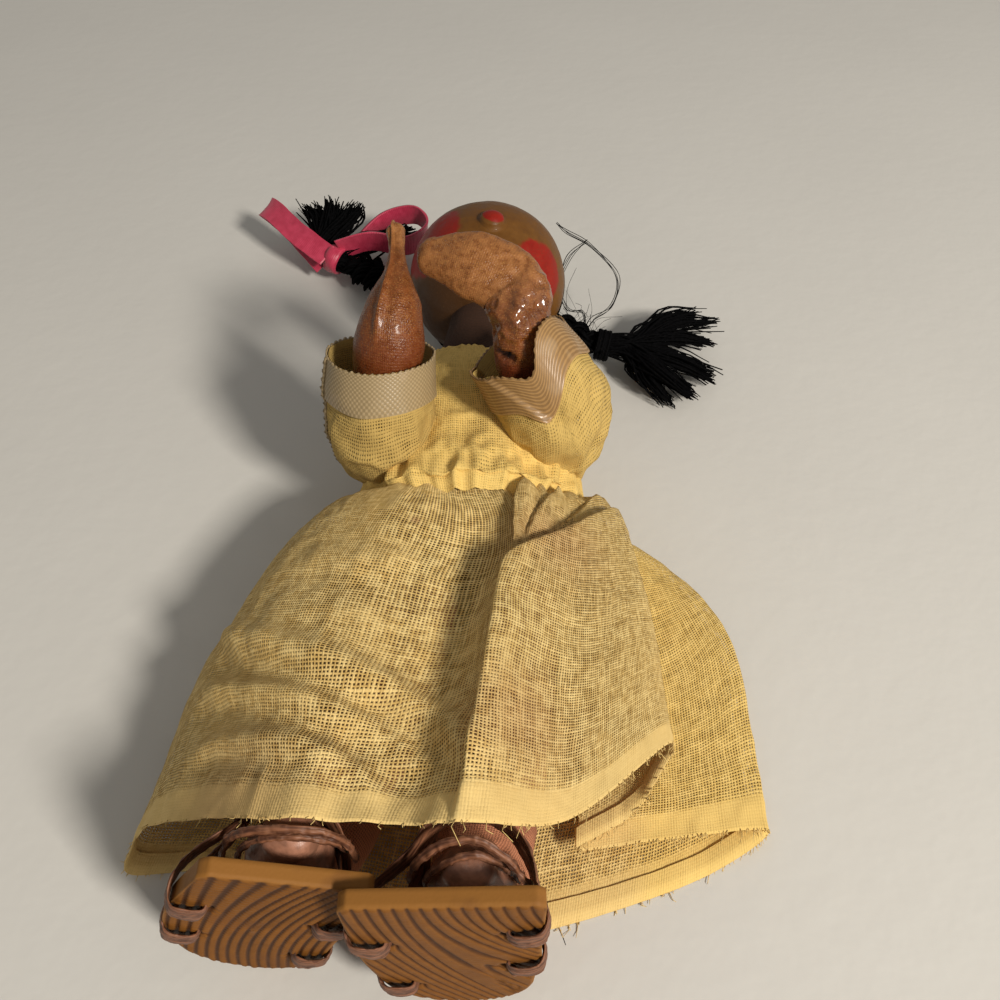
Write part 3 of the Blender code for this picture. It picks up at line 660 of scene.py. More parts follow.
def skirtGrid():
    shares = np.linspace(0, 1, skirt["rows"])
    lines = along(np.array(skirt["foldLines"], float).transpose(1, 0, 2), shares)
    grid = closedLoops(lines, skirt["columnsPerFold"])
    gather = (1 - smooth(shares * 8))[:, None, None]
    grid[..., 2] = np.maximum(grid[..., 2], 0)
    return grid * (1 - gather) + waistPoints(grid) * gather


def sideOf(points, edge):
    # how far points lie from a drawn edge, seen from above: positive to its right, negative to its left
    edge = along(np.array(edge, float), np.linspace(0, 1, 40))
    best = np.full(points.shape[:-1], 1e9)
    signed = np.zeros(points.shape[:-1])
    for start, end in zip(edge[:-1], edge[1:]):
        run = end - start
        length = np.linalg.norm(run)
        offset = points[..., :2] - start
        share = np.clip((offset @ run) / length ** 2, 0, 1)
        gap = np.linalg.norm(offset - share[..., None] * run, axis=-1)
        turn = run[1] * offset[..., 0] - run[0] * offset[..., 1]
        closer = gap < best
        best = np.where(closer, gap, best)
        signed = np.where(closer, gap * np.sign(turn), signed)
    return signed


def endsOf(points, edge):
    # how far points lie inside the two ends of a drawn edge, along it
    edge = np.array(edge, float)
    first, last = edge[0], edge[-1]
    atFirst = (points[..., :2] - first) @ unit(edge[1] - first)
    atLast = (points[..., :2] - last) @ unit(edge[-2] - last)
    return np.minimum(atFirst, atLast) + 2.0


def foldedSkirt():
    grid = skirtGrid()
    normals = gridNormals(grid)
    down = np.linspace(0, 1, skirt["rows"])[:, None] * skirt["length"]
    around = np.linspace(0, 1, grid.shape[1], endpoint=False)[None, :]
    onTable = smooth((grid[..., 2] - 1.0) / 4.0)
    turn = around * math.tau

    # small gathers that run out below the waist, some of them longer than others
    phase = (around + 0.018 * roundNoise(turn, down, 3, 0.02, 4)) * skirt["gathers"]
    reach = skirt["gatherReach"] * (1 + 0.9 * lineNoise(phase * 0.37 + down * 0, 1.0, 7))
    strength = bell(np.maximum(down - 1.0, 0), np.maximum(reach, 4), 1) * (0.3 + 0.7 * onTable)
    pleat = 1 - np.abs(((phase + 0.6 * lineNoise(phase, 1.3, 9)) % 1.0) - 0.5) * 4
    front = smooth((grid[..., 2] - 20) / 6)
    strength = strength * (1 - 0.85 * front * smooth((11 - grid[..., 0]) / 5))
    strength = strength * (0.7 + 0.6 * lineNoise(phase, 2.1, 11))
    lift = skirt["gatherHeight"] * strength * pleat * smooth(down / 3.0)

    # the right front panel is folded over: its edge stands above the valley on its left
    for fold in skirt["folds"]:
        step = fold["step"]
        away = sideOf(grid, fold["edge"])
        valley = smooth(-away / step) * bell(np.maximum(-away - step, 0), fold["reach"], 1.5)
        ridge = bell(np.maximum(away, 0), fold["round"], 1) * smooth((away + step) / step)
        ends = smooth(endsOf(grid, fold["edge"]) / 5.0) * smooth((grid[..., 1] + 84.0) / 14.0)
        lift = lift + front * ends * (fold["rise"] * ridge - fold["depth"] * valley)

    # crumples all over, flatter wrinkles low on the left front, a bulge above the hem
    place = grid * np.array([1.0, 0.7, 1.0])
    lift = lift + skirt["crumple"] * onTable * softNoise(place, 13.0, 21) * smooth(down / 12)
    lift = lift + 0.16 * onTable * wrinkles(place, 5.0, 31) * smooth(down / 10)
    for roll in skirt["rolls"]:
        half = roll["half"]
        away = sideOf(grid, roll["line"])
        ends = smooth(endsOf(grid, roll["line"]) / 8.0)
        shape = roll["rise"] * bell(away, half) - roll["dip"] * bell(away - 2.1 * half, 1.2 * half)
        lift = lift + front * ends * shape * (0.9 + 0.3 * softNoise(grid, 12.0, 43))
    grid = grid + normals * lift[..., None]

    # the raw edge waves a little
    wave = smooth((down - 70) / 15) * roundNoise(turn, down, 9, 0, 51)
    grid = grid + normals * (0.45 * wave * onTable)[..., None]
    grid[..., 2] = np.maximum(grid[..., 2], lowest + 0.12 * (1 + softNoise(grid[..., :2], 2.0, 61)))
    return grid


def turnedHem(grid):
    # the edge turns inside and runs up again
    down = lengths(grid, 0).mean(axis=1)
    normals = gridNormals(grid)
    count = int(np.searchsorted(down, down[-1] - skirt["hemTurn"]))
    inside = []
    for step in range(len(grid) - 1, count, -3):
        offset = skirt["hemGap"] * (0.35 + 0.65 * smooth((down[-1] - down[step]) / 1.2))
        ring = grid[step] - normals[step] * offset
        ring[:, 2] = np.maximum(ring[:, 2], lowest + 0.3)
        inside.append(ring)
    return np.concatenate([grid, np.array(inside)])


# The dark brownish yellow last in this table is painted shade on the sleeves; on the skirt it darkens the
# right front panel.
gauzeColours = {
    "between": (0.61, 0.395, 0.125), "thread": (0.86, 0.63, 0.26), "patch": (0.58, 0.37, 0.12),
    # the deeper yellow below is painted shade on the bodice and sleeves; on the skirt it only deepens the
    # yellow low on the right
    "deep": (0.76, 0.51, 0.135), "stain": (0.40, 0.17, 0.085), "soil": (0.26, 0.175, 0.06),
}


def gauzeMaterial(name, pitch, cover):
    material, tree, sockets = newMaterial(name, 0.88, Specular_IOR_Level=0.25)
    place = weaveMap(tree)
    solid = inMillimetres(tree)
    dense = maskOf(tree, "dense")
    patches = noiseOf(tree, solid, 0.045, 1.0)
    width = remap(tree, patches, 0.35, 0.65, cover - 0.07, cover + 0.07)
    width = maths(tree, "MULTIPLY_ADD", dense, 0.5, width)
    weave = wovenBy(tree, place, pitch, width, 0.42, 0.22)
    parts = addNode(tree, "SeparateXYZ", {0: place}).outputs
    fine = maths(tree, "SINE", times(tree, parts[0], math.tau / 0.52))
    fine = maths(tree, "MULTIPLY_ADD", fine, 0.2, 0.66)
    height = between(tree, times(tree, dense, 0.62), weave["Height"], fine)
    tone = between(tree, times(tree, dense, 0.85), weave["Tone"], 0.55)
    base = mixed(tree, remap(tree, tone, 0.3, 0.7), gauzeColours["between"], gauzeColours["thread"])
    base = mixed(tree, remap(tree, patches, 0.3, 0.7, 0.0, 0.25), base, gauzeColours["patch"])
    for mask in ("deep", "stain", "soil"):
        base = mixed(tree, maskOf(tree, mask), base, gauzeColours[mask])
    groove = remap(tree, height, 0.0, 0.6, 0.42, 1.0)
    shade = mixed(tree, 1.0, base, groove, "MULTIPLY")
    tree.links.new(shade, sockets["Base Color"])
    cover = maths(tree, "MAXIMUM", weave["Cover"], remap(tree, dense, 0.35, 0.7))
    tree.links.new(cover, sockets["Alpha"])
    bumped(tree, sockets, height, 0.14, 0.75)
    return material


def near(points, centre, radius):
    # 1 at a place, fading out round it
    return bell(np.linalg.norm(points - np.asarray(centre, float), axis=-1), radius)


def buildSkirt(gauze):
    cloth = foldedSkirt()
    grid = turnedHem(cloth)
    wide, tall = skirt["flatSize"]
    piece = gridPiece("skirt_gauze", grid, gauze, ["skirt"], uv=weavePlaces(grid, wide, tall))
    depth = lengths(grid, 0).mean(axis=1)
    hemStart = depth[len(cloth) - 1] - skirt["hemTurn"]
    hem = smooth((depth - hemStart) / 1.5)[:, None]
    seam = 0.55 * (1 - smooth(depth / 5.0))[:, None]
    x, z = grid[..., 0], grid[..., 2]
    stain = sum(strength * near(grid, place, radius) for place, radius, strength in skirt["stains"])
    # The skirt takes the deeper yellow low on its right and the dark brownish yellow over its right front
    # panel.
    paintMasks(piece, grid.shape[:2], dense=np.maximum(hem, seam), stain=np.clip(stain, 0, 1),
               deep=0.55 * smooth((x - 28) / 8) * smooth((16 - z) / 6),
               soil=0.17 * smooth((x - 2) / 8) * smooth((z - 16) / 6))
    frayed = frayedEdge(cloth[-1], cloth[-4], gauze)


def frayedEdge(edge, above, gauze):
    # short thread ends stand out of the lower edge, most of them at the right back
    random.seed(53)
    lines, radii = [], []
    for _ in range(frays["threads"]):
        column = random.randrange(len(edge))
        place = edge[column]
        if place[0] < frays["thinLeftOf"] and random.random() < frays["thinned"]:
            continue
        out = unit(place - above[column])
        turn = scatter(0.45, 0.3, 0.2)
        length = random.uniform(*frays["short" if random.random() < frays["shortShare"] else "long"])
        bend = scatter(0.2, 0.2, 0.1) * length
        start = place - out * frays["rooted"]
        middle = start + (out + turn * 0.4) * length * 0.6 + bend
        lines.append([start, middle, start + (out + turn) * length])
        radii.append(frays["radii"])
    piece = strandPiece("skirt_frayed_threads", lines, radii, gauze, sides=3)
    paintMasks(piece, len(piece.data.vertices), dense=1.0)
    return piece


gauze = gauzeMaterial("Yellow gauze", 0.62, 0.66)
closeGauze = gauzeMaterial("Close yellow gauze", 0.52, 0.70)
buildSkirt(gauze)
print("Skirt is made")


# Dress: bodice

bodice = {
    # place along y, centre x and z, half width, half height
    "sections": ((-1.0, 2.0, 16.0, 21.5, 16.3), (8.0, 1.5, 16.4, 22.5, 16.6), (18.0, 1.0, 16.6, 22.5, 16.8),
                 (28.0, 0.5, 17.0, 19.5, 15.6), (34.5, 0.0, 18.6, 13.4, 12.2), (38.0, 0.0, 19.4, 10.2, 10.2)),
    "rows": 100,
    "columns": 270,
    "flatSize": (150.0, 44.0),
    "gathers": 34,
    "gatherHeight": 1.1,
    "length": 46.0,
    "waistReach": 5.5,
    "neckReach": 4.0,
}


def bodiceGrid(rows, columns, grow=0.0, inset=0.0):
    shares = np.linspace(0, 1, rows)
    sections = np.array(bodice["sections"])
    places = along(sections[:, :3], shares)
    widths = along(sections[:, 3], shares) + grow - inset * shares
    heights = along(sections[:, 4], shares) + grow - inset * shares
    angle = math.tau * np.arange(columns) / columns
    dip = skirt["seamDip"] * (1 - smooth(shares * 4))
    rise = np.sin(angle)[None, :]
    x = places[:, 1:2] + widths[:, None] * np.cos(angle)[None, :]
    y = places[:, 0:1] - dip[:, None] * np.maximum(rise, 0) ** 2
    z = places[:, 2:3] + heights[:, None] * rise
    return np.stack(np.broadcast_arrays(x, y, np.maximum(z, 0)), axis=-1), shares


def buildBodice(gauze):
    grid, shares = bodiceGrid(bodice["rows"], bodice["columns"])
    normals = gridNormals(grid)
    around = np.linspace(0, 1, bodice["columns"], endpoint=False)[None, :]
    up = shares[:, None] * bodice["length"]
    free = smooth((grid[..., 2] - 1.0) / 5.0)
    phase = around * bodice["gathers"] + 0.5 * roundNoise(around * math.tau, up, 3, 0.05, 71)
    pleat = 1 - np.abs((phase % 1.0) - 0.5) * 4
    waist = bell(up, bodice["waistReach"], 1)
    neck = bell(bodice["length"] - up, bodice["neckReach"], 1)
    lift = pleat * (0.35 * bodice["gatherHeight"] * waist + 0.2 * neck) * (0.35 + 0.65 * free)
    lift = lift + free * (0.55 * softNoise(grid, 9.0, 73) + 0.25 * wrinkles(grid, 8.0, 75))
    lift = lift + free * waist * (1.5 * wrinkles(grid * np.array([1, 0.55, 1]), 4.2, 79) + 0.9)
    crossing = bell(up - 6 - 2 * softNoise(grid[..., :1], 6.0, 83), 2.4)
    lift = lift + free * crossing * 0.9 * softNoise(grid, 5.0, 85)
    grid = grid + normals * lift[..., None]
    # a little ruffle where the waist seam gathers the cloth over the skirt
    ruffle = waist * smooth((up - 0.2) / 1.5)
    grid[..., 1] -= 2.4 * ruffle * free * (0.6 + 0.9 * softNoise(grid, 4.5, 77))
    grid = grid + normals * (0.9 * ruffle * free)[..., None]
    # the lower edge is tucked under the skirt
    middle = grid[0].mean(axis=0)
    tucked = []
    for step in (3, 2, 1):
        tucked.append(middle + (grid[0] - middle) * (1 - 0.035 * step) + np.array([0, -1.1 * step, 0]))
    grid = np.concatenate([np.array(tucked), grid])
    waist, neck = [np.concatenate([value[:1]] * 3 + [value]) for value in (waist, neck)]
    grid[..., 2] = np.maximum(grid[..., 2], lowest)
    wide, tall = bodice["flatSize"]
    piece = gridPiece("bodice_gauze", grid, gauze, ["bodice"], uv=weavePlaces(grid, wide, tall))
    # The deeper yellow over the whole bodice is painted shade.
    paintMasks(piece, grid.shape[:2], dense=0.3 * waist + 0.3 * neck + 0.24, deep=0.7)


buildBodice(closeGauze)
print("Bodice is made")


# Dress: sleeves with their ribbon cuffs

sleeves = {
    "left": {
        "path": ((-8, 15, 13), (-15.5, 13.5, 22), (-17, 12, 33), (-16.5, 17, 45)),
        "halfWidths": (8.5, 10.6, 11.2, 10.4), "halfDepths": (8.5, 11.0, 12.6, 11.6), "across": (1, 0, 0),
        "seed": 101, "pulls": (), "flap": None,
        "notch": {"side": (-0.25, -0.88, 0.40), "spread": 0.25, "depth": 0.03},
    },
    "right": {
        "path": ((8, 15, 13), (17, 14.5, 22), (18.2, 14.5, 33), (11.4, 19.6, 44.4)),
        "halfWidths": (8.5, 11.2, 11.6, 9.8), "halfDepths": (8.5, 11.5, 13.0, 13.6), "across": (1, 0, 0),
        "seed": 131,
        "pulls": ({"side": (0.66, -0.69, 0.30), "spread": 0.22, "from": 0.5, "by": (-2.6, 0.4, 4.6)},),
        "flap": {"plane": ((7.5, -137, 177), (9.9, 1.3, 48.5), (20.5, 2.0, 38.0)), "reach": 5.0},
        "notch": {"side": (0.12, -0.90, 0.42), "spread": 0.05, "depth": 0.13},
    },
}
# Each sleeve is darkened by its own amount as painted shade, more on the left.
sleeveMake = {"rows": 96, "columns": 200, "flatSize": (76.0, 42.0), "cuffWidth": 7.4, "cuffWall": 0.35,
              "cuffGap": 0.25, "cuffRows": 110, "teeth": 0.3, "soil": {"left": 0.56, "right": 0.44},
              "ribbonStain": (0.42, 0.30, 0.18)}
seam = {"towards": (-0.93, -0.36, 0.0), "from": 0.78, "points": 130, "whip": (0.5, -0.4, 0.1),
        "radii": (0.16, 0.45)}


def sleeveGrid(side, rows, grow=0.0):
    sleeve = sleeves[side]
    grid = sweep(sleeve, sleeveMake["columns"], rows, grow)
    shares = np.linspace(0, 1, rows)
    out = unit(grid - grid.mean(axis=1, keepdims=True))
    for pull in sleeve["pulls"]:
        # the edge is drawn in on one side
        towards = bell(1 - out @ np.array(pull["side"]), pull["spread"])
        towards = towards * smooth((shares - pull["from"]) / (1 - pull["from"]))[:, None]
        grid = grid + towards[..., None] * np.array(pull["by"])
    free = (1 - smooth((shares - 0.66) / 0.2))[:, None]
    seed = sleeve["seed"]
    lift = free * (0.75 * softNoise(grid, 8.0, seed) + 0.6 * wrinkles(grid, 7.0, seed + 3))
    lift = lift + 0.2 * softNoise(grid, 4.0, seed + 7)
    if sleeve["flap"]:
        # one front edge laps over the other, down from the notch
        plane, reach = sleeve["flap"]["plane"], sleeve["flap"]["reach"]
        eye, first, second = (np.array(place, float) for place in plane)
        away = (grid - first) @ unit(np.cross(first - eye, second - eye))
        lower = smooth((grid[..., 2] - second[2] + 6) / 4) * (out[..., 1] < 0.1)
        lift = lift + lower * smooth(away / 0.5) * bell(np.maximum(away, 0), reach, 1)
    return raised(grid, lift), shares


def notched(grid, side):
    # the front of a sleeve's edge lies lower than the rest
    notch = sleeves[side]["notch"]
    rim = unit(grid[-1] - grid[-1].mean(axis=0))
    ends = 1 - notch["depth"] * bell(1 - rim @ np.array(notch["side"]), notch["spread"], 1)
    places = np.linspace(0, 1, len(grid))[:, None] * ends[None, :] * (len(grid) - 1)
    before = np.minimum(places.astype(int), len(grid) - 2)
    part = (places - before)[..., None]
    columns = np.arange(grid.shape[1])[None, :]
    return grid[before, columns] * (1 - part) + grid[before + 1, columns] * part


def ribbonMaterial(name, light, dark, pearl):
    material, tree, sockets = newMaterial(name, 0.42, Specular_IOR_Level=0.45)
    place = weaveMap(tree)
    parts = addNode(tree, "SeparateXYZ", {0: place}).outputs
    rib = maths(tree, "SINE", times(tree, parts[1], 6.6 if pearl else 8.4))
    across = maths(tree, "SINE", times(tree, parts[0], 5.6 if pearl else 3.1))
    dots = times(tree, rib, across) if pearl else maths(tree, "MULTIPLY_ADD", across, 0.25, rib)
    height = remap(tree, dots, -0.6, 0.9)
    aged = agedBy(tree, inMillimetres(tree), 7.0)
    colour = mixed(tree, height, dark, light)
    colour = mixed(tree, remap(tree, aged["Stain"], 0, 1, 0, 0.35), colour, sleeveMake["ribbonStain"])
    tree.links.new(colour, sockets["Base Color"])
    rough = remap(tree, height, 0, 1, 0.55, 0.32)
    tree.links.new(rough, sockets["Roughness"])
    bumped(tree, sockets, height, 0.06, 0.7)
    return material


def buildSleeve(side, gauze, ribbon):
    grid, shares = sleeveGrid(side, sleeveMake["rows"])
    grid = notched(grid, side)
    wide, tall = sleeveMake["flatSize"]
    sleeve = gridPiece("sleeve_gauze_" + side, grid, gauze, ["sleeve_" + side],
                       uv=weavePlaces(grid, wide, tall))
    # Both the deeper yellow and the dark brownish yellow are painted shade on the sleeve.
    paintMasks(sleeve, grid.shape[:2], dense=0.22 + 0.6 * smooth((shares - 0.95) / 0.05)[:, None],
               deep=0.8, soil=sleeveMake["soil"][side])
    length = lengths(grid, 0).mean(axis=1)[-1]
    start = 1 - sleeveMake["cuffWidth"] / length
    rows, wall = sleeveMake["cuffRows"], sleeveMake["cuffWall"]
    outer, _ = sleeveGrid(side, rows, sleeveMake["cuffGap"] + wall)
    outer = notched(outer, side)[int(start * (rows - 1)):]
    inner = raised(outer, -wall)
    # small picot teeth along the rim
    columns = outer.shape[1]
    teeth = sleeveMake["teeth"] * (np.arange(columns) % 4 < 2)
    teeth = teeth * (0.6 + 0.8 * np.random.default_rng(sleeves[side]["seed"]).uniform(size=columns))
    teeth = unit(outer[-1] - outer[-3]) * teeth[:, None]
    outer[-1] += teeth
    inner[-1] += teeth
    ring = np.concatenate([outer, inner[::-1], outer[:1]])
    cuff = gridPiece("cuff_ribbon_" + side, ring, ribbon, ["cuff_" + side])
    if side == "left":
        buildSeam(outer, grid, ribbon)


def buildSeam(cuff, grid, material):
    # whipped stitches down the outer front of the left sleeve
    column = int(np.argmax(cuff[-1] @ np.array(seam["towards"])))
    line = np.concatenate([cuff[::-3, column], grid[int(len(grid) * seam["from"])::-4, column]])[:26]
    line = evenly(line, seam["points"])
    out = unit(line - grid[len(grid) // 2].mean(axis=0))
    zigzag = np.sin(np.arange(len(line)) * 1.3)[:, None] * np.array(seam["whip"])
    strandPiece("sleeve_seam_stitches", [line + out * 0.35 + zigzag, line + out * 0.1], seam["radii"],
                material, sides=5)


# Both ribbons keep their own cream tones, darkened in part as painted shade.
cream = ribbonMaterial("Cream satin ribbon", (0.39, 0.285, 0.155), (0.26, 0.185, 0.09), True)
pinkCream = ribbonMaterial("Ribbed cream ribbon", (0.36, 0.205, 0.078), (0.235, 0.13, 0.046), False)
for side, ribbon in (("left", cream), ("right", pinkCream)):
    buildSleeve(side, closeGauze, ribbon)
print("Sleeves are made")


# Head

head = {
    "centre": (4.3, 71.3, 22.0), "radius": 19.5, "tilt": 8.0, "turn": -15.0,
    "lean": 6.0,                                # the face itself rolls a little to the right
    "noseRadius": 2.8, "noseHeight": 2.3, "lipHeight": 0.9, "lipPlace": 6.3,
    "cheeks": ((-17.6, -3.8, 11.2), (16.0, -5.8, 8.8)),     # to the side, up from the nose, radius
    "eyes": (5.6, 14.6),
    "browAndLid": ((3.2, 0.05, 0.35, 2.9), (1.6, 0.17, 0.25, 2.4)),     # above the eye, bow, thickness, half
    "rows": 140, "columns": 190,
}


def headPose():
    return rotation("Z", head["turn"]) @ rotation("X", head["tilt"])


def headPoints(polar, around, radius, lean=0.0):
    # polar from the nose, around from the crown
    polar, around, radius = np.broadcast_arrays(polar, around, radius)
    local = np.stack([np.sin(polar) * np.sin(around), np.sin(polar) * np.cos(around), np.cos(polar)], -1)
    return np.asarray(head["centre"]) + (local * radius[..., None]) @ (rotation("Y", lean) @ headPose()).T


def facePlaces(polar, around):
    # millimetres on the face from the nose: to the side and up to the brow
    offset = polar * head["radius"]
    return offset * np.sin(around), offset * np.cos(around)


def spot(side, up, centre, size):
    # 1 on the edge of an oval on the face, less inside it and more outside
    return ((side - centre[0]) / size[0]) ** 2 + ((up - centre[1]) / size[1]) ** 2


def buildHead(paint):
    shares = (np.arange(head["rows"]) + 0.3) / head["rows"]
    polar = (math.pi * shares ** 1.35)[:, None]
    around = (math.tau * np.arange(head["columns"]) / head["columns"])[None, :]
    side, up = facePlaces(polar, around)
    offset = polar * head["radius"] + 0 * around
    nose = head["noseHeight"] * np.sqrt(np.clip(1 - (offset / head["noseRadius"]) ** 2, 0, 1))
    nose = nose + 0.35 * bell(offset - head["noseRadius"], 0.5)
    mouth = bell(up + head["lipPlace"] + 0.5 + 0.03 * side ** 2, math.sqrt(0.5)) * bell(side, 3.0, 4)
    lips = head["lipHeight"] * bell(up + head["lipPlace"], 1.5) * bell(side, 2.8)
    radius = head["radius"] + np.maximum(nose, lips) - 0.35 * mouth
    grid = headPoints(polar, around, radius, head["lean"])
    grid = raised(grid, 0.12 * softNoise(grid, 7.0, 201) + 0.03 * softNoise(grid, 1.6, 203))
    piece = gridPiece("head_painted", grid, paint, ["head"], capped=True)
    cheeks = sum(bell(spot(side, up, (x, y), (size, size * 1.05))) for x, y, size in head["cheeks"])
    lipRed = bell(spot(side, up, (0, -head["lipPlace"] - 0.3), (3.6, 1.9)), power=3)
    noseRed = bell(spot(side, up, (0.2, 0.5), (2.7, 2.5)), power=3)
    whites, dark = 0, 0.75 * mouth
    eyeSide, eyeUp = head["eyes"]
    for place in (-eyeSide, eyeSide):
        whites = whites + bell(spot(side, up, (place, eyeUp), (2.2, 1.35)), power=5)
        dark = dark + bell(spot(side, up, (place, eyeUp - 0.1), (1.1, 1.25)), power=5)
        for above, bow, thick, half in head["browAndLid"]:
            line = up - (eyeUp + above - bow * (side - place) ** 2)
            dark = dark + bell(line, thick, 4) * (np.abs(side - place) < half)
    # The paint darkens towards the chin as painted shadow of the raised arms.
    paintMasks(piece, grid.shape[:2], red=np.clip(cheeks + lipRed + 0.85 * noseRed, 0, 1),
               chin=0.85 * smooth((-up - 9.0) / 9.0), white=np.clip(whites, 0, 1), dark=np.clip(dark, 0, 1))


faceColours = {
    "oliveDark": (0.09, 0.032, 0.004), "olive": (0.18, 0.075, 0.012),
    "redDark": (0.17, 0.005, 0.002), "red": (0.30, 0.014, 0.005), "chin": (0.040, 0.015, 0.004),
    "white": (0.75, 0.72, 0.62), "dark": (0.012, 0.008, 0.006), "speckle": (0.10, 0.05, 0.02),
}


def facePaint():
    material, tree, sockets = newMaterial("Glossy face paint", 0.5, Coat_Weight=0.1, Coat_Roughness=0.08,
                                          Specular_IOR_Level=0.2)
    solid = inMillimetres(tree)
    aged = agedBy(tree, solid, 9.0)
    wobble = noiseOf(tree, scaled(tree, solid, 0.35), 1.0)
    wobble = times(tree, minus(tree, wobble, 0.5), 0.5)
    olive = mixed(tree, aged["Mottle"], faceColours["oliveDark"], faceColours["olive"])
    red = mixed(tree, aged["Mottle"], faceColours["redDark"], faceColours["red"])
    # painted shadow: dark brown towards the chin
    olive = mixed(tree, maskOf(tree, "chin"), olive, faceColours["chin"])
    redness = remap(tree, plus(tree, maskOf(tree, "red"), wobble), 0.38, 0.62)
    colour = mixed(tree, redness, olive, red)
    for mask in ("white", "dark"):
        colour = mixed(tree, maskOf(tree, mask), colour, faceColours[mask])
    colour = mixed(tree, remap(tree, aged["Speckle"], 0, 1, 0, 0.25), colour, faceColours["speckle"])
    tree.links.new(colour, sockets["Base Color"])
    tree.links.new(remap(tree, aged["Mottle"], 0.3, 0.7, 0.42, 0.58), sockets["Roughness"])
    bumped(tree, sockets, noiseOf(tree, scaled(tree, solid, 1.1), 1.0), 0.12, 0.35)
    return material


buildHead(facePaint())
print("Head is made")


# Arms

arms = {
    "left": {
        "path": ((-9, 16, 15), (-15, 15, 27), (-15.5, 14.5, 38), (-14.5, 16, 47), (-13.3, 21.5, 54),
                 (-12.9, 27, 57.5), (-13.2, 31.5, 59.6), (-13.4, 35, 61.2)),
        "halfWidths": (5.5, 6.2, 6.6, 6.9, 5.4, 2.3, 1.5, 1.7),
        "halfDepths": (5.5, 6.2, 6.8, 7.2, 5.8, 2.8, 1.6, 1.7),
        "across": (1, 0, 0), "seed": 301,
    },
    "right": {
        "path": ((7, 15, 16), (14, 15, 27), (13.5, 15, 38), (11.6, 15.4, 47), (11.4, 18.5, 53),
                 (9.4, 23.0, 57.0), (2.0, 26.0, 59.5), (-5.8, 29.0, 59.5)),
        "halfWidths": (5.5, 5.8, 5.4, 5.4, 6.2, 6.9, 6.6, 3.8),
        "halfDepths": (5.5, 5.6, 5.2, 5.3, 5.4, 3.9, 3.0, 2.0),
        "across": (0, 0.755, 0.656), "seed": 331,
    },
}
armMake = {"rows": 180, "columns": 116, "domeRings": 10, "seamAt": 0.70, "seamHeight": 1.1, "wrist": 0.58,
           "holeAt": (7.8, 12.2, 48.6), "holeSize": (2.7, 2.6, 1.3)}


def swollen(limb, make):
    # a swept limb with rounded ends, and how far along it each row lies
    ends = make["domeRings"]
    grid = domed(sweep(limb, make["columns"], make["rows"]), ends)
    shares = np.concatenate([np.zeros(ends), np.linspace(0, 1, make["rows"]), np.ones(ends)])
    return grid, shares[:, None]


def tornHole(points):
    # a ragged hole in the front of the right wrist
    away = (points - np.array(armMake["holeAt"])) / np.array(armMake["holeSize"])
    away = np.linalg.norm(away, axis=-1) + 0.35 * softNoise(points, 1.3, 351)
    return 1 - smooth((away - 0.75) / 0.35)


def buildArm(side, varnish):
    seed = arms[side]["seed"]
    grid, shares = swollen(arms[side], armMake)
    lift = 0.25 * softNoise(grid, 7.0, seed + 1) + 0.05 * softNoise(grid, 0.9, seed)
    if side == "left":
        # a sewn seam stands up along the front and ends in the pinched tip
        pinch = smooth((shares - 0.55) / 0.3)
        lift = lift + 0.28 * pinch * wrinkles(grid * np.array([1, 0.35, 0.35]), 2.2, seed + 2)
        angle = (np.arange(armMake["columns"]) + 0.5) / armMake["columns"]
        ridge = bell(angle[None, :] - armMake["seamAt"], 0.02) * (1 - 0.5 * smooth((shares - 0.8) / 0.2))
        grid = raised(grid, lift + armMake["seamHeight"] * ridge * smooth((shares - 0.42) / 0.12))
        # The left arm is painted darker low down, as painted shade on its shadowed side.
        masks = {"hole": 0.0, "armShade": 0.6 * smooth((57.0 - grid[..., 2]) / 9.0), "shine": 0.0,
                 "worn": 0.8 * smooth((shares - 0.75) / 0.2)}
    else:
        lift = lift + 0.5 * bell(shares - armMake["wrist"], 0.13) * wrinkles(grid, 3.0, seed + 2)
        palm = smooth((shares - 0.6) / 0.2)
        lift = lift + 0.12 * palm * wrinkles(grid * np.array([0.5, 1, 1]), 2.4, seed + 5)
        grid = raised(grid, lift - 1.8 * tornHole(grid))
        # The right arm is painted dark near the sleeve, as painted shade.
        masks = {"hole": tornHole(grid), "armShade": smooth((49.0 - grid[..., 2]) / 3.0),
                 "shine": bell(shares - 0.6, 0.12), "worn": 0.75 * smooth((shares - 0.55) / 0.2)}
    piece = gridPiece("arm_varnished_" + side, grid, varnish, ["arm_" + side], capped=True)
    paintMasks(piece, grid.shape[:2], **masks)


# The dark reddish brown in this table is painted shade low on the arms.
varnishColours = {
    "dark": (0.085, 0.019, 0.003), "light": (0.185, 0.050, 0.008), "thread": (0.25, 0.075, 0.016),
    # the light gold speckle colour is painted glints of the varnish
    "worn": (0.36, 0.15, 0.045), "speckle": (0.46, 0.22, 0.06), "armShade": (0.13, 0.022, 0.008),
    # the near black is painted shadow inside the torn hole
    "hole": (0.003, 0.002, 0.002),
}


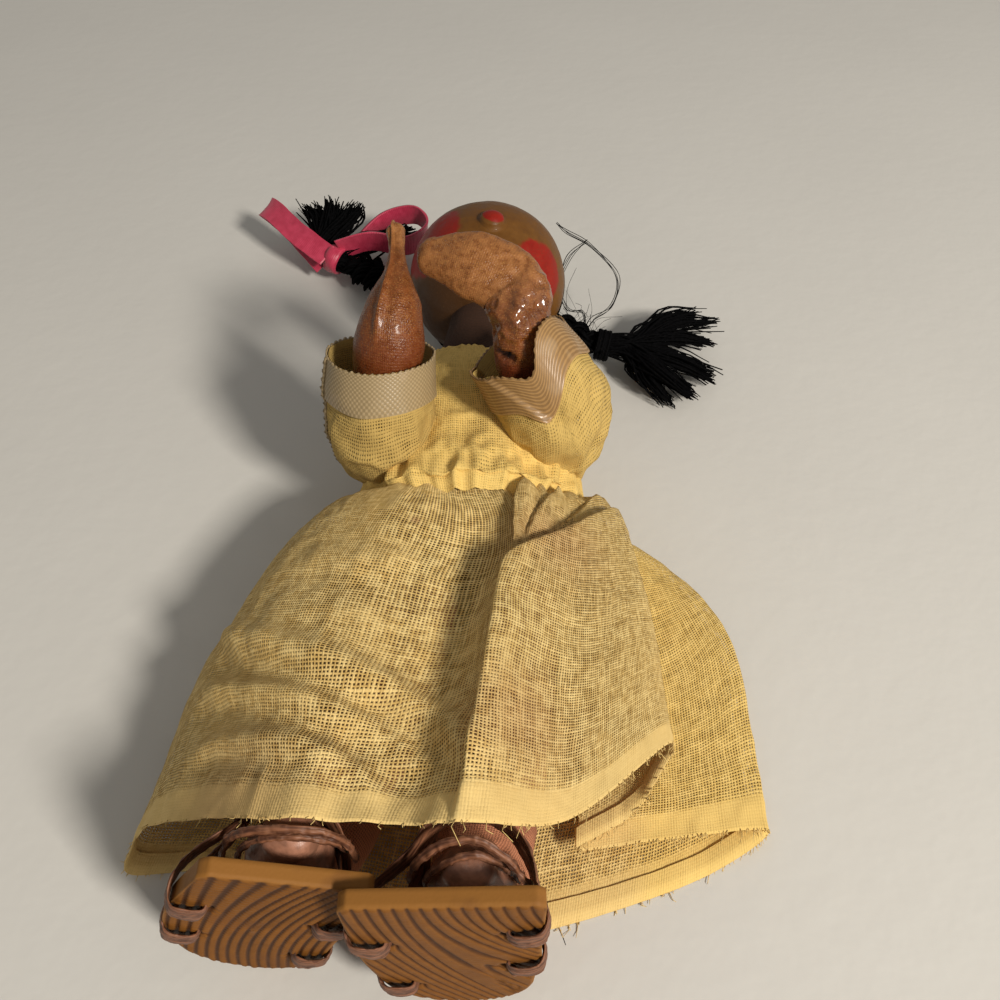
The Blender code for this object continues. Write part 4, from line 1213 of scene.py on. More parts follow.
def varnishedCloth():
    material, tree, sockets = newMaterial("Varnished cloth", 0.4, Coat_Roughness=0.12,
                                          Specular_IOR_Level=0.3)
    solid = inMillimetres(tree)
    weave = wovenBy(tree, weaveMap(tree), 0.42, 0.95, 0.2, 0.05)
    aged = agedBy(tree, solid, 6.0)
    mottle = remap(tree, aged["Mottle"], 0.3, 0.7)
    colour = mixed(tree, mottle, varnishColours["dark"], varnishColours["light"])
    raisedThreads = remap(tree, weave["Height"], 0.1, 0.9, 0.0, 0.35)
    colour = mixed(tree, raisedThreads, colour, varnishColours["thread"])
    pale = times(tree, maskOf(tree, "worn"), remap(tree, aged["Mottle"], 0.1, 0.7))
    colour = mixed(tree, pale, colour, varnishColours["worn"])
    # painted glints: light gold speckle over the varnish
    colour = mixed(tree, remap(tree, aged["Speckle"], 0, 1, 0, 0.5), colour, varnishColours["speckle"])
    # painted shade: dark reddish brown low on both arms
    colour = mixed(tree, times(tree, maskOf(tree, "armShade"), 0.8), colour, varnishColours["armShade"])
    # painted shadow: near black inside the torn hole
    colour = mixed(tree, maskOf(tree, "hole"), colour, varnishColours["hole"])
    tree.links.new(colour, sockets["Base Color"])
    tree.links.new(remap(tree, maskOf(tree, "shine"), 0, 1, 0.08, 0.7), sockets["Coat Weight"])
    tree.links.new(remap(tree, aged["Mottle"], 0.3, 0.75, 0.22, 0.55), sockets["Roughness"])
    height = plus(tree, times(tree, weave["Height"], 0.6), noiseOf(tree, scaled(tree, solid, 2.6), 1.0, 2.0))
    bumped(tree, sockets, height, 0.13, 0.8)
    return material


varnish = varnishedCloth()
for side in arms:
    buildArm(side, varnish)
print("Arms are made")


# Torso and legs

legs = {
    "left": {
        "path": ((-9.6, -23.2, 12.5), (-14.5, -44, 12.6), (-21, -66, 12.8), (-24.5, -76, 16),
                 (-24.5, -79, 25), (-23.2, -79.6, 33), (-22.3, -79.9, 38.3)),
        "halfWidths": (9.2, 9.2, 8.6, 8.0, 7.2, 6.8, 4.8),
        "halfDepths": (9.4, 9.2, 8.6, 7.2, 5.8, 5.4, 4.2),
        "across": (1, 0, 0), "seed": 401,
    },
    "right": {
        "path": ((10.4, -23.2, 12.5), (8.4, -44, 12.6), (5.4, -68, 12.8), (4, -78, 16),
                 (3.4, -82.2, 25), (3.2, -83.4, 32), (3.2, -83.8, 36.6)),
        "halfWidths": (9.2, 9.2, 8.8, 8.2, 7.4, 6.6, 4.4),
        "halfDepths": (9.4, 9.2, 8.6, 7.0, 5.6, 5.0, 4.0),
        "across": (1, 0, 0), "seed": 431,
    },
}
legMake = {"rows": 120, "columns": 80, "domeRings": 12, "ankle": 0.52}
torso = {"neckBase": (0, 36.0, 19.4), "neckRadius": 8.2, "neckRings": 24,
         "seatCentre": (1.0, 14.8), "seatHalf": (17.5, 12.6),
         "seatSections": ((-15.5, 0.45), (-13.5, 0.8), (-8.0, 0.93)),     # place, share of the half sizes
         "rows": 40, "columns": 120, "inside": -1.1, "narrowing": 1.6}


def buildLeg(side, cloth):
    seed = legs[side]["seed"]
    grid, shares = swollen(legs[side], legMake)
    lift = 0.35 * softNoise(grid, 6.0, seed) - 0.35
    ankle = bell(shares - legMake["ankle"], 0.07)
    lift = lift + 0.35 * ankle * wrinkles(grid * np.array([0.5, 1, 1]), 3.0, seed + 1)
    grid = raised(grid, lift)
    grid[..., 2] = np.maximum(grid[..., 2], lowest + 0.4)
    piece = gridPiece("leg_cloth_" + side, grid, cloth, ["leg_" + side], capped=True)
    paintMasks(piece, grid.shape[:2], toe=smooth((shares - 0.74) / 0.12))


def buildTorso(cloth):
    rings, _ = bodiceGrid(torso["rows"], torso["columns"], torso["inside"], torso["narrowing"])
    angle = math.tau * np.arange(torso["columns"]) / torso["columns"]
    flat = np.stack([np.cos(angle), 0 * angle, np.sin(angle)], -1)
    (seatX, seatZ), (halfX, halfZ) = torso["seatCentre"], torso["seatHalf"]
    seat = [np.array([seatX, place, seatZ]) + flat * np.array([halfX, 0, halfZ]) * share
            for place, share in torso["seatSections"]]
    base = np.array(torso["neckBase"])
    top = np.array(head["centre"]) - np.array([0, head["radius"] * 0.6, 0])
    stem = [base * (1 - share) + top * share + flat * torso["neckRadius"]
            for share in np.linspace(0, 1, torso["neckRings"])]
    grid = np.concatenate([np.array(seat), rings[:-4], np.array(stem)])
    grid = raised(grid, 0.25 * softNoise(grid, 5.0, 461) - 0.25)
    grid[..., 2] = np.maximum(grid[..., 2], lowest + 0.5)
    piece = gridPiece("torso_cloth", grid, cloth, ["torso"], capped=True)
    paintMasks(piece, grid.shape[:2], toe=0.0)


def pinkCloth(name, light, dark, toeColour):
    material, tree, sockets = newMaterial(name, 0.85, Specular_IOR_Level=0.35)
    solid = inMillimetres(tree)
    weave = wovenBy(tree, weaveMap(tree), 0.5, 0.85, 0.25, 0.05)
    aged = agedBy(tree, solid, 9.0)
    toe = maskOf(tree, "toe")
    height = times(tree, weave["Height"], remap(tree, toe, 0, 1, 1.0, 0.12))
    colour = mixed(tree, weave["Height"], dark, light)
    colour = mixed(tree, remap(tree, aged["Stain"], 0, 1, 0, 0.5), colour, dark)
    toeShade = tuple(value * 0.55 for value in toeColour)
    patchy = mixed(tree, remap(tree, aged["Mottle"], 0.35, 0.65), toeShade, toeColour)
    colour = mixed(tree, times(tree, toe, 0.92), colour, patchy)
    tree.links.new(colour, sockets["Base Color"])
    tree.links.new(remap(tree, toe, 0, 1, 0.85, 0.38), sockets["Roughness"])
    bumped(tree, sockets, height, 0.1, 0.8)
    return material


dustyPink = pinkCloth("Dusty pink cloth", (0.50, 0.20, 0.10), (0.18, 0.06, 0.032), (0.36, 0.165, 0.10))
for side in legs:
    buildLeg(side, dustyPink)
# The neck cloth is painted near black, as painted shade under the head and arms.
buildTorso(pinkCloth("Neck cloth painted in shade", (0.050, 0.019, 0.007), (0.016, 0.005, 0.002), (0.1, 0.05, 0.03)))
print("Body is made")


# Sandals

sandals = {
    "left": {
        "heel": (-32.8, -83.9, 0.8), "lean": 2.6, "roll": 16.0, "toeWidth": 23.5, "bow": -2.6,
        "footMiddle": -0.4,
        "straps": ((32.0, 28.0, 35.4, 11.6), (19.0, 11.0, 33.8, 12.0)),
        "ridgePitch": 1.6, "ridgeFrom": 12.5, "bend": (0.0012, 0.0066, -14.0, 9.0), "crossRibs": 1.1,
        "toeStrips": (
            (1.3, ((-32.8, -81.6, 34), (-31.2, -80.3, 38.4), (-27.4, -80.4, 41.4), (-21.8, -80.6, 42.5),
                   (-16.8, -80.7, 41.4), (-14.3, -80.7, 38.0), (-13.4, -80.9, 33))),
            (1.0, ((-30.4, -81.8, 34), (-29.4, -81.4, 37.4), (-26.6, -81.2, 40.2), (-21.8, -81.2, 41.4),
                   (-17.6, -81.1, 40.2), (-15.4, -80.6, 37.0), (-14.8, -79.6, 33))),
        ),
    },
    "right": {
        "heel": (2.2, -88.9, 0.4), "lean": 0.6, "roll": -3.0, "toeWidth": 27.5, "bow": -0.6,
        "footMiddle": 2.6,
        "straps": ((31.0, 35.0, 36.8, 12.8), (11.5, 21.0, 35.2, 13.2)),
        "ridgePitch": 1.8, "ridgeFrom": 46.0, "bend": (0.0068, 0.015, -6.0, 6.0), "crossRibs": 0.12,
        "toeStrips": (
            (1.3, ((-5.6, -84.2, 33), (-4.4, -83.6, 37.5), (-0.6, -82.4, 41.6), (4.0, -82.1, 42.6),
                   (8.3, -83.9, 40.6), (11.0, -85.4, 36.5), (13.2, -86.2, 31.5))),
            (1.1, ((-3.4, -84.6, 33), (-2.4, -84.6, 36.5), (0.6, -83.9, 39.7), (4.2, -83.5, 40.9),
                   (7.6, -84.0, 38.6), (9.6, -83.8, 34.5), (10.4, -83.0, 30))),
        ),
    },
}
soleMake = {"length": 45.0, "thickness": 3.0, "heelWidth": 22.5, "ballWidth": 26.5, "cornerCut": 1.2,
            "ridgeHeight": 0.34, "rings": 74, "columns": 400}
strapMake = {"width": 4.4, "thickness": 0.62, "gap": 0.3, "rows": 150, "columns": 24, "slitInset": 5.2,
             "slitDrop": 1.6, "slitHalf": (1.0, 0.9), "sunk": 0.45, "stripHalfDepth": 0.35}


def soleHalfWidth(sandal, height):
    share = height / soleMake["length"]
    toe, heel, ball = sandal["toeWidth"] / 2, soleMake["heelWidth"] / 2, soleMake["ballWidth"] / 2
    width = heel + (ball - heel) * smooth((share - 0.15) / 0.4)
    width = width + (toe - ball) * smooth((share - 0.55) / 0.45)
    rounded = np.sqrt(np.clip(1 - (1 - height / heel) ** 2, 0, 1))
    return np.where(height < heel, width * rounded, width)


def soleMiddle(sandal, height):
    return sandal["bow"] * np.sin(math.pi * height / soleMake["length"])


def ontoSole(sandal, local):
    # local x runs across the sole, y to its inner face, z from heel to toe
    turned = rotation("Y", sandal["roll"]) @ rotation("X", sandal["lean"])
    return np.asarray(sandal["heel"]) + np.asarray(local) @ turned.T


def soleOutline(sandal):
    angles = np.linspace(0.0, math.pi / 2, 40)
    heights = np.concatenate([soleMake["heelWidth"] / 2 * (1 - np.cos(angles)),
                              np.linspace(soleMake["heelWidth"] / 2, soleMake["length"], 60)[1:]])
    width = soleHalfWidth(sandal, heights)
    corner = smooth((heights - soleMake["length"] + 1.4) / 1.4)
    width = width - soleMake["cornerCut"] * corner ** 2
    middle = soleMiddle(sandal, heights)
    left = np.stack([middle - width, 0 * heights, heights], -1)
    right = np.stack([middle + width, 0 * heights, heights], -1)[::-1]
    top = np.linspace(left[-1], right[0], 30)[1:-1]
    loop = np.concatenate([left, top, right[:-1], left[:1]])
    return evenly(loop, soleMake["columns"] + 1)[:-1]


def ridgePhase(sandal, x, height):
    # which ridge a point lies on: the ridges bend away from their straight place towards the toe
    low, more, start, reach = sandal["bend"]
    origin = x
    for _ in range(6):
        bend = low + more * smooth((origin - start) / reach)
        origin = 0.4 * origin + 0.6 * (x - bend * (height - sandal["ridgeFrom"]) ** 2)
    return origin / sandal["ridgePitch"]


def buildSole(side, rubber):
    sandal = sandals[side]
    outline = soleOutline(sandal)
    centre = np.array([soleMiddle(sandal, soleMake["length"] / 2), 0, soleMake["length"] * 0.5])
    shares = np.linspace(0.004, 1, soleMake["rings"]) ** 0.8
    face = centre + (outline - centre)[None] * shares[:, None, None]
    rim = np.linalg.norm(outline - centre, axis=-1)[None, :] * (1 - shares[:, None])
    phase = ridgePhase(sandal, face[..., 0], face[..., 2])
    wave = 0.5 + 0.5 * np.cos(math.tau * phase)
    relief = soleMake["ridgeHeight"] * (1 - (1 - wave) ** 3)
    cross = 0.5 + 0.5 * np.cos(math.tau * (face[..., 2] + 0.35 * face[..., 0]) / 1.05)
    relief = relief * (1 - sandal["crossRibs"] * 0.5 * cross)
    relief = relief * smooth(rim / 0.8) + 0.03 * softNoise(face, 1.4, 501)
    slits = 0.0
    for heights in sandal["straps"]:
        for place, height in strapSlits(sandal, heights):
            slit = bell(face[..., 0] - place, strapMake["slitHalf"][0])
            slit = slit * bell(face[..., 2] - height, strapMake["slitHalf"][1])
            slits = np.maximum(slits, slit)
    wall = soleMake["thickness"] - soleMake["ridgeHeight"]
    face[..., 1] = -wall - relief + 1.1 * slits
    edge = []
    for share in np.linspace(0.0, 1.0, 5)[1:]:
        ring = outline.copy()
        ring[:, 1] = -wall + (wall - 0.15) * share
        edge.append(ring)
    inner = [centre + (outline - centre) * share for share in np.linspace(0.99, 0.02, 6)]
    grid = ontoSole(sandal, np.concatenate([face, np.array(edge), np.array(inner)]))
    grid[..., 2] = np.maximum(grid[..., 2], lowest)
    piece = gridPiece("sole_corrugated_" + side, grid, rubber, ["sole_" + side], capped=True)
    # The strap slits are painted near black, as painted shadow.
    marks = np.zeros(grid.shape[:2])
    marks[:len(face)] = slits
    # The sole's walls and rim are painted lighter, as painted light.
    litEdge = np.ones(grid.shape[:2])
    litEdge[:len(face)] = 1 - smooth(rim / 0.6)
    # This mask also sets where the grooves are painted dark as shade.
    ridge = np.ones(grid.shape[:2])
    ridge[:len(face)] = wave * (1 - 0.62 * sandal["crossRibs"] * cross)
    paintMasks(piece, grid.shape[:2], slit=marks, edge=litEdge, ridge=ridge)


def strapReach(sandal, heights):
    # how far the sole reaches to the left and to the right at the two ends of a strap
    left = soleHalfWidth(sandal, heights[0]) - soleMiddle(sandal, heights[0])
    right = soleHalfWidth(sandal, heights[1]) + soleMiddle(sandal, heights[1])
    return left, right


def strapSlits(sandal, heights):
    left, right = strapReach(sandal, heights)
    inset, drop = strapMake["slitInset"], strapMake["slitDrop"]
    return (-left + inset, heights[0] - drop), (right - inset, heights[1] - drop)


def strapPath(sandal, heights):
    leftHeight, rightHeight, archHeight, arch = heights
    thick = soleMake["thickness"]
    outside = strapMake["thickness"] / 2 + strapMake["gap"]
    left, right = strapReach(sandal, heights)
    (leftSlit, leftEnd), (rightSlit, rightEnd) = strapSlits(sandal, heights)
    sunk = -thick * (1 - strapMake["sunk"])
    middle = sandal["footMiddle"]
    lowArch, highArch = (leftHeight + archHeight) / 2, (rightHeight + archHeight) / 2
    return [
        (leftSlit, sunk, leftEnd),
        (-left + 4.2, -thick - outside, leftHeight - 1.2),
        (-left + 0.2, -thick - outside, leftHeight),
        (-left - outside * 1.05, -thick * 0.5, leftHeight + 0.4),
        (-left + 0.6, 2.4, leftHeight + 0.9),
        (middle - 8.6, arch * 0.64, lowArch),
        (middle - 4.6, arch * 0.93, archHeight),
        (middle, arch, archHeight + 0.6),
        (middle + 4.6, arch * 0.93, archHeight),
        (middle + 8.6, arch * 0.64, highArch),
        (right - 0.6, 2.4, rightHeight + 0.9),
        (right + outside * 1.05, -thick * 0.5, rightHeight + 0.4),
        (right - 0.2, -thick - outside, rightHeight),
        (right - 4.2, -thick - outside, rightHeight - 1.2),
        (rightSlit, sunk, rightEnd),
    ]


def strapGrid(sandal, heights, seed):
    path = ontoSole(sandal, np.array(strapPath(sandal, heights)))
    up = ontoSole(sandal, (0, 0, 1)) - np.asarray(sandal["heel"])
    limb = flatLimb(path, up, strapMake["width"] / 2, strapMake["thickness"] / 2)
    grid = sweep(limb, strapMake["columns"], strapMake["rows"])
    centre = grid.mean(axis=1, keepdims=True)
    grid = centre + (grid - centre) * (1 + 0.14 * softNoise(centre, 3.0, seed)[..., None])
    return raised(grid, 0.12 * wrinkles(grid, 1.5, seed + 1))


def buildStraps(side, leather):
    sandal = sandals[side]
    grids = [strapGrid(sandal, heights, 520 + 7 * index) for index, heights in enumerate(sandal["straps"])]
    for index, (width, strip) in enumerate(sandal["toeStrips"]):
        # narrower strips lie doubled over the toe
        limb = flatLimb(strip, (0, 0.75, 0.65), width / 2, strapMake["stripHalfDepth"])
        grid = sweep(limb, strapMake["columns"], strapMake["rows"])
        grids.append(raised(grid, 0.14 * wrinkles(grid, 1.6, 560 + index)))
    joinedPiece("straps_leather_" + side, grids, leather, ["straps_" + side])


# The groove colour is painted shade in the sole's grooves.
soleColours = {
    "dark": (0.13, 0.045, 0.006), "light": (0.205, 0.078, 0.012), "groove": (0.035, 0.010, 0.002),
    # the edge colour is painted light on the sole's walls and rim
    "edge": (0.27, 0.115, 0.022), "stain": (0.11, 0.04, 0.012), "slit": (0.02, 0.008, 0.004),
# the slit colour is painted shadow
}
leatherColours = {"dark": (0.065, 0.021, 0.009), "light": (0.22, 0.086, 0.040), "worn": (0.30, 0.135, 0.068)}


def tanSole():
    material, tree, sockets = newMaterial("Corrugated tan sole", 0.65, Specular_IOR_Level=0.2)
    solid = inMillimetres(tree)
    aged = agedBy(tree, solid, 8.0)
    colour = mixed(tree, aged["Mottle"], soleColours["dark"], soleColours["light"])
    # painted shade: dark in the grooves between the ridges
    groove = remap(tree, maskOf(tree, "ridge"), 0.0, 0.4, 0.85, 0.0)
    colour = mixed(tree, groove, colour, soleColours["groove"])
    # painted light: lighter walls and rim
    colour = mixed(tree, times(tree, maskOf(tree, "edge"), 0.8), colour, soleColours["edge"])
    colour = mixed(tree, remap(tree, aged["Stain"], 0, 1, 0, 0.35), colour, soleColours["stain"])
    # painted shadow: near black in the strap slits
    colour = mixed(tree, remap(tree, maskOf(tree, "slit"), 0.25, 0.6), colour, soleColours["slit"])
    tree.links.new(colour, sockets["Base Color"])
    bumped(tree, sockets, noiseOf(tree, scaled(tree, solid, 2.2), 1.0, 2.0), 0.06, 0.6)
    return material


def strapLeather():
    material, tree, sockets = newMaterial("Thin strap leather", 0.55, Specular_IOR_Level=0.4)
    solid = inMillimetres(tree)
    aged = agedBy(tree, solid, 5.0)
    parts = addNode(tree, "SeparateXYZ", {0: weaveMap(tree)}).outputs
    streak = addNode(tree, "CombineXYZ", {0: times(tree, parts[0], 1.7),
                                          1: times(tree, parts[1], 0.16)}).outputs[0]
    crease = noiseOf(tree, streak, 1.0, 2.0)
    crack = remap(tree, crease, 0.35, 0.65)
    colour = mixed(tree, crack, leatherColours["dark"], leatherColours["light"])
    worn = remap(tree, aged["Mottle"], 0.45, 0.7, 0, 0.35)
    colour = mixed(tree, worn, colour, leatherColours["worn"])
    tree.links.new(colour, sockets["Base Color"])
    bumped(tree, sockets, crease, 0.4, 0.9)
    return material


rubber, leather = tanSole(), strapLeather()
for side in sandals:
    buildSole(side, rubber)
    buildStraps(side, leather)
print("Sandals are made")


# Hair

braids = {
    "left": {
        "path": ((-14.6, 82, 8), (-22, 91, 7), (-30, 96.5, 6.4), (-36, 99.8, 6.6), (-43, 103.6, 8)),
        "halfWidths": (3.4, 4.4, 5.4, 2.7, 2.4), "tieShare": 0.86,
        "tips": ((-52, 122.5, 12.5), (-47, 121.5, 13.5), (-41.5, 119.5, 15), (-34.5, 117.5, 16),
                 (-28, 115, 17)),
        "strands": 260, "clumps": 6, "seed": 601,
    },
    "right": {
        "path": ((20.6, 70.5, 10), (26, 66.5, 9.6), (30, 63.8, 8.8), (34, 62.8, 8.2), (38, 62.4, 7.6)),
        "halfWidths": (3.0, 3.6, 3.2, 2.6, 2.6), "tieShare": 0.75,
        "tips": ((50, 45.5, 2.6), (57, 48.5, 3), (62.5, 55.5, 3.6), (65.5, 64, 4.4), (66.5, 73, 5.2),
                 (62.5, 82.5, 6)),
        "strands": 380, "clumps": 9, "seed": 641,
    },
}
hairMake = {"thickness": 2.0, "yarnRadius": 0.34, "capRows": 60, "capColumns": 160, "combed": 74,
            "combedRadius": (0.9, 1.25), "bundleYarns": 15, "plaitLength": 13.0, "plaitRadius": 0.42,
            "tieWidth": 4.0, "tieRadius": 3.9, "tieTurns": 7, "strayHairs": 26, "bowYarns": 150,
            "looseLoops": (
                ((29, 66, 9), (31.7, 69.5, 11), (36.0, 71.1, 14), (38.3, 79.8, 17), (31.5, 88.9, 20),
                 (25.5, 95, 21), (22.9, 97.0, 22)),
                ((30, 68, 9), (29.5, 74.0, 10), (24.9, 71.1, 13), (23.2, 77.2, 16), (26.0, 86.0, 19),
                 (31, 93, 19)),
            )}


def blackYarn():
    material, tree, sockets = newMaterial("Black yarn", 0.75, Specular_IOR_Level=0.03)
    solid = inMillimetres(tree)
    tone = noiseOf(tree, scaled(tree, solid, 0.8), 1.0, 3.0)
    colour = mixed(tree, tone, (0.0006, 0.0006, 0.0007), (0.0038, 0.0036, 0.004))
    tree.links.new(colour, sockets["Base Color"])
    parts = addNode(tree, "SeparateXYZ", {0: weaveMap(tree)}).outputs
    twist = plus(tree, times(tree, parts[0], math.tau * 2), times(tree, parts[1], 5.0))
    bumped(tree, sockets, maths(tree, "SINE", twist), 0.06, 0.6)
    return material


def hairline(around):
    return np.radians(106 - 40 * np.cos(around))


def hairRise(beyond):
    # the yarn lies flat at the hairline and thick behind it
    return 0.12 + 0.88 * smooth(beyond / math.radians(42))


def capPoints(around, share, lift):
    start = hairline(around)
    polar = start + (math.pi * 0.985 - start) * share
    rise = hairMake["thickness"] * hairRise(polar - start)
    points = headPoints(polar, around, head["radius"] + 0.35 + rise + lift)
    points[..., 2] = np.maximum(points[..., 2], lowest + 0.2)
    return points


def buildHair(yarn):
    around = (math.tau * np.arange(hairMake["capColumns"]) / hairMake["capColumns"])[None, :]
    share = np.linspace(0, 1, hairMake["capRows"])[:, None]
    outer = capPoints(around + 0 * share, share + 0 * around, -0.55)
    start = hairline(around[0])
    inner = headPoints(start, around[0], head["radius"] + 0.25)[None]
    grid = np.concatenate([inner, outer])
    gridPiece("hair_cap", grid, yarn, ["hair"])

    # yarn combed from the middle parting round the head to the root of each braid
    random.seed(611)
    lines, radii = [], []
    pose = headPose()
    centre = np.asarray(head["centre"])
    for side, sign in (("left", -1), ("right", 1)):
        root = np.array(braids[side]["path"][0], float)
        rootLocal = unit((root - centre) @ pose)
        for index in range(hairMake["combed"]):
            share = index / (hairMake["combed"] - 1)
            angle = math.radians(68 + 166 * share)      # from the brow over the crown to the nape
            first = np.array([0.02 * sign, math.sin(angle), math.cos(angle)])
            points = []
            for step in np.linspace(0, 1, 22):
                outwards = np.array([sign, 0.1, 0]) * 1.1 * step * (1 - step)
                local = unit(first * (1 - step) + rootLocal * step + outwards)
                beyond = math.acos(local[2]) - hairline(math.atan2(local[0], local[1]))
                thick = 0.35 + hairMake["thickness"] * hairRise(beyond) + random.uniform(-0.1, 0.1)
                points.append(centre + pose @ (local * (head["radius"] + thick)))
            lines.append(evenly(points, 20))
            radii.append(hairMake["yarnRadius"] * random.uniform(*hairMake["combedRadius"]))
    strandPiece("hair_combed", lines, radii, yarn, sides=5)


def braidFrame(path, shares):
    # places along a braid with the directions ahead, across and up
    centres = along(path, shares)
    ahead = unit(np.gradient(centres, axis=0))
    across = unit(np.cross(ahead, (0, 0, 1.0)))
    return centres, ahead, across, np.cross(across, ahead)


def roundTie(side, shift, angles, radius):
    # points round a braid at its tie, moved along it
    tie = braids[side]["tieShare"]
    places = braidFrame(braids[side]["path"], np.array([tie - 0.03, tie, tie + 0.03]))
    centre, ahead, across, upwards = (rows[1] for rows in places)
    return (centre + ahead * np.asarray(shift)[..., None] + across * (np.cos(angles) * radius)[:, None] +
            upwards * (np.sin(angles) * radius)[:, None])


def buildBraid(side, yarn):
    # three bundles of yarn cross over each other down to the tie
    braid = braids[side]
    random.seed(braid["seed"])
    shares = np.linspace(0, braid["tieShare"], 60)
    centres, _, across, upwards = braidFrame(braid["path"], shares)
    widths = along(braid["halfWidths"], shares)
    length = lengths(centres, 0)
    lines, radii = [], []
    yarns = hairMake["bundleYarns"]
    for bundle in range(3):
        phase = length / hairMake["plaitLength"] * math.tau + bundle * math.tau / 3
        x = np.sin(phase) * widths * 0.5
        z = np.sin(2 * phase) * widths * 0.26
        middle = centres + across * x[:, None] + upwards * z[:, None]
        for index in range(yarns):
            spin = math.tau * index / yarns * 2.4 + length * 0.22
            radius = widths * 0.52 * math.sqrt((index + 0.5) / yarns)
            offset = across * (np.cos(spin) * radius)[:, None] + upwards * (np.sin(spin) * radius)[:, None]
            lines.append(middle + offset)
            radii.append(hairMake["plaitRadius"] * random.uniform(0.85, 1.15))
    strandPiece("braid_plaited_" + side, lines, radii, yarn, ["braid_" + side], sides=5)


def buildTassel(side, yarn):
    # loose ends spread out from the tie to the tips, thinner and more ragged there
    braid = braids[side]
    random.seed(braid["seed"] + 1)
    path = np.array(braid["path"], float)
    tied = along(path, [braid["tieShare"]])[0]
    ahead = unit(path[-1] - tied)
    tips = np.array(braid["tips"], float)
    points = np.linspace(0, 1, 16)
    thinning = 1 - 0.55 * smooth((points - 0.7) / 0.3)
    lines, radii, clumps = [], [], []
    for index in range(braid["clumps"]):
        spread = min(max((index + random.uniform(0.1, 0.9)) / braid["clumps"], 0), 1)
        clumps.append((spread, random.uniform(0.86, 1.02), random.gauss(0, 1.0)))
    for _ in range(braid["strands"]):
        spread, reach, height = random.choice(clumps)
        tip = along(tips, [spread])[0]
        reach = reach * (random.uniform(0.93, 1.02) if random.random() < 0.9 else random.uniform(0.6, 0.9))
        tip = tied + (tip - tied) * reach
        loose = 0.9 if random.random() < 0.9 else 2.2
        tip += scatter(loose, loose, 0.6) + np.array([0, 0, height])
        tip[2] = max(tip[2], 0.5)
        start = tied + scatter(0.9, 0.9, 0.81)
        out = start + ahead * random.uniform(4, 7) + np.array([0, 0, random.uniform(-0.6, 1.6)])
        middle = start * 0.35 + tip * 0.65
        middle += np.array([*scatter(1.0, 1.0), random.uniform(0.4, 3.2)])
        lines.append(along(np.array([start - ahead * 2.5, start, out, middle, tip]), points))
        radii.append(random.uniform(0.24, 0.42) * thinning)
    strandPiece("braid_ends_" + side, lines, radii, yarn)


def buildLooseThreads(yarn):
    # a few fine threads have come loose: a loop beside the head and yarn inside the bow
    random.seed(671)
    lines, radii = [], []
    points = np.linspace(0, 1, 14)
    for loop in hairMake["looseLoops"]:
        loop = np.array(loop, float)
        for _ in range(4):
            jitter = np.array([scatter(0.35, 0.35, 0.35) for _ in loop])
            lines.append(along(loop + jitter, np.linspace(0, 1, 60)))
            radii.append(random.uniform(0.07, 0.12))
    for _ in range(hairMake["strayHairs"]):
        start = along(braids["right"]["path"], [random.uniform(0.15, 0.7)])[0] + np.array([0.4, 1.6, 2.2])
        aim = np.array([random.gauss(0, 1), abs(random.gauss(0.8, 0.8)), random.gauss(0.5, 0.5)])
        aim = aim * random.uniform(2, 6)
        bend = scatter(1.2, 1.2, 1.2)
        lines.append(along(np.array([start, start + aim * 0.5 + bend, start + aim]), points))
        radii.append(0.05)
    for _ in range(hairMake["bowYarns"]):
        share = random.random()
        start = np.array([-39.5, 101.5, 8.0]) + scatter(1.1, 1.1, 1.1)
        middle = np.array([-31.5, 105.5, 9.5]) + scatter(1.5, 1.5, 1.5)
        end = np.array([-19.5, 106.0 + 6 * share, 10.0]) + scatter(1.2, 1.2, 1.2)
        lines.append(along(np.array([start, middle, end]), points))
        radii.append(random.uniform(0.25, 0.4))
    strandPiece("hair_loose_threads", lines, radii, yarn)


def buildTie(side, material, name, nodes):
    # yarn wound round the braid
    turns = hairMake["tieTurns"]
    angles = np.linspace(0, math.tau * turns, 24 * turns)
    half = hairMake["tieWidth"] / 2 - 0.4
    radius = hairMake["tieRadius"] - 0.3 + 0.12 * np.sin(angles * 0.37)
    line = roundTie(side, np.linspace(-half, half, len(angles)), angles, radius)
    strandPiece(name, [line], [0.42], material, nodes, sides=6)


yarn = blackYarn()
buildHair(yarn)
for side in braids:
    buildBraid(side, yarn)
    buildTassel(side, yarn)
buildTie("right", yarn, "hair_tie_wound", ["hair_tie_right"])
buildLooseThreads(yarn)
print("Hair is made")


# Magenta ribbon bow

bow = {
    "loops": (
        {"path": ((-41, 99.5, 9.5), (-50, 106.5, 12.2), (-57.6, 114.6, 14.2), (-60.2, 117.6, 13.5),
                  (-57.6, 116.4, 12.1), (-50, 108.5, 9.8), (-42.5, 101, 5.6)),
         "across": (0.62, 0.59, 0.51)},
        {"path": ((-36, 103.8, 4.2), (-33, 110.2, 6), (-26, 116.4, 9.5), (-17, 115.8, 12),
                  (-13.5, 110, 11), (-18.5, 103.8, 10.5), (-29, 102, 13), (-38, 101.5, 10.6)),
         "across": (0, -0.1, 1)},
    ),
    "width": 6.4, "thickness": 0.5, "rows": 110, "places": 25, "knotPoints": 60,
    # rings of the knot: moved along the braid, grown over the tie
    "knot": ((-2.0, -0.5), (-2.0, 0.2), (-1.0, 0.45), (0, 0.55), (1.0, 0.45), (2.0, 0.2), (2.0, -0.5)),
}


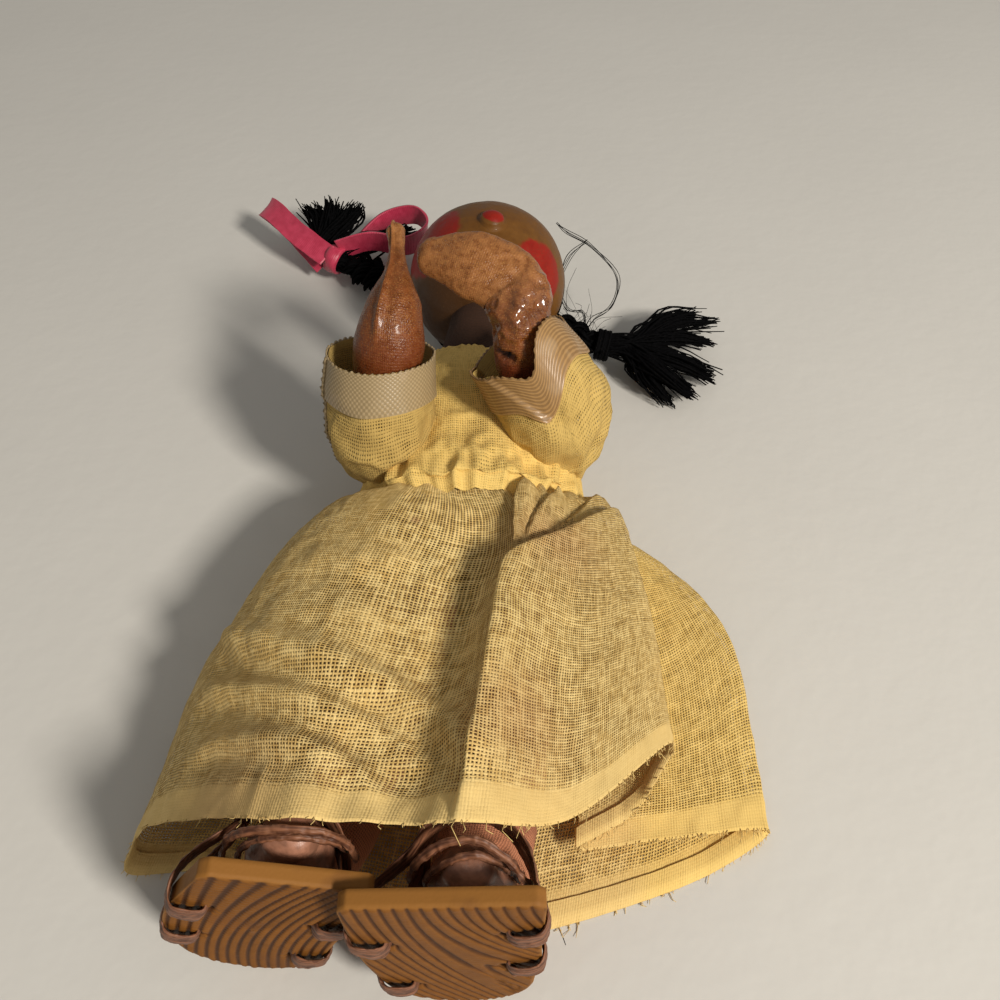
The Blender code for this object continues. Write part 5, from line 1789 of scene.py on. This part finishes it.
def ribbonGrid(path, across, rows):
    # a flat ribbon with rounded selvedges, slightly cupped
    rings = sweep(flatLimb(path, across, 1.0, 1.0), 4, rows, turn=0.0)
    centre = rings.mean(axis=1)
    side, normal = rings[:, 0] - centre, rings[:, 1] - centre
    half, thick = bow["width"] / 2, bow["thickness"] / 2
    places = np.linspace(-1, 1, bow["places"])
    cupped = -0.35 * places ** 2
    top = np.stack([places * half, thick + cupped + 0.08 * (np.abs(places) > 0.86)], -1)
    under = np.stack([places * half, -thick + cupped], -1)[::-1]
    section = np.concatenate([top, under])
    return centre[:, None] + side[:, None] * section[None, :, :1] + normal[:, None] * section[None, :, 1:]


def satin():
    material, tree, sockets = newMaterial("Magenta satin ribbon", 0.38, Sheen_Weight=0.15)
    place = weaveMap(tree)
    parts = addNode(tree, "SeparateXYZ", {0: place}).outputs
    rib = maths(tree, "SINE", times(tree, parts[1], 12.0))
    aged = agedBy(tree, inMillimetres(tree), 8.0)
    colour = mixed(tree, aged["Mottle"], (0.30, 0.009, 0.032), (0.60, 0.046, 0.105))
    tree.links.new(colour, sockets["Base Color"])
    tree.links.new(remap(tree, aged["Mottle"], 0.3, 0.7, 0.3, 0.5), sockets["Roughness"])
    bumped(tree, sockets, rib, 0.04, 0.5)
    return material


def buildBow(material):
    grids = []
    for loop in bow["loops"]:
        grid = ribbonGrid(loop["path"], loop["across"], bow["rows"])
        grids.append(raised(grid, 0.12 * softNoise(grid, 3.5, 701)))
    angle = math.tau * np.arange(bow["knotPoints"]) / bow["knotPoints"]
    rings = []
    for shift, grow in bow["knot"]:
        radius = hairMake["tieRadius"] - 0.2 + grow + 0.18 * np.sin(angle * 3 + shift)
        rings.append(roundTie("left", shift, angle, radius))
    grids.append(np.array(rings + rings[:1]))
    joinedPiece("hair_ribbon_satin", grids, material, ["hair_ribbon"])


buildBow(satin())
print("Bow is made")


# Table top

def tableTop():
    material, tree, sockets = newMaterial("Pale table cloth", 0.75)
    solid = inMillimetres(tree)
    tone = noiseOf(tree, scaled(tree, solid, 0.02), 1.0, 2.0)
    pale = view["floorColour"]
    darker, lighter = (tuple(value * change for value in pale) for change in (0.97, 1.03))
    colour = mixed(tree, tone, darker, lighter)
    tree.links.new(colour, sockets["Base Color"])
    bumped(tree, sockets, noiseOf(tree, scaled(tree, solid, 0.18), 1.0, 2.0), 0.5, 0.25)
    mesh = bpy.data.meshes.new("Table")
    size = 3.0
    corners = [(-size, -size, 0), (size, -size, 0), (size, size, 0), (-size, size, 0)]
    mesh.from_pydata(corners, [], [(0, 1, 2, 3)])
    mesh.materials.append(material)
    table = bpy.data.objects.new("Table", mesh)
    bpy.context.scene.collection.objects.link(table)


tableTop()
print("Table is made")
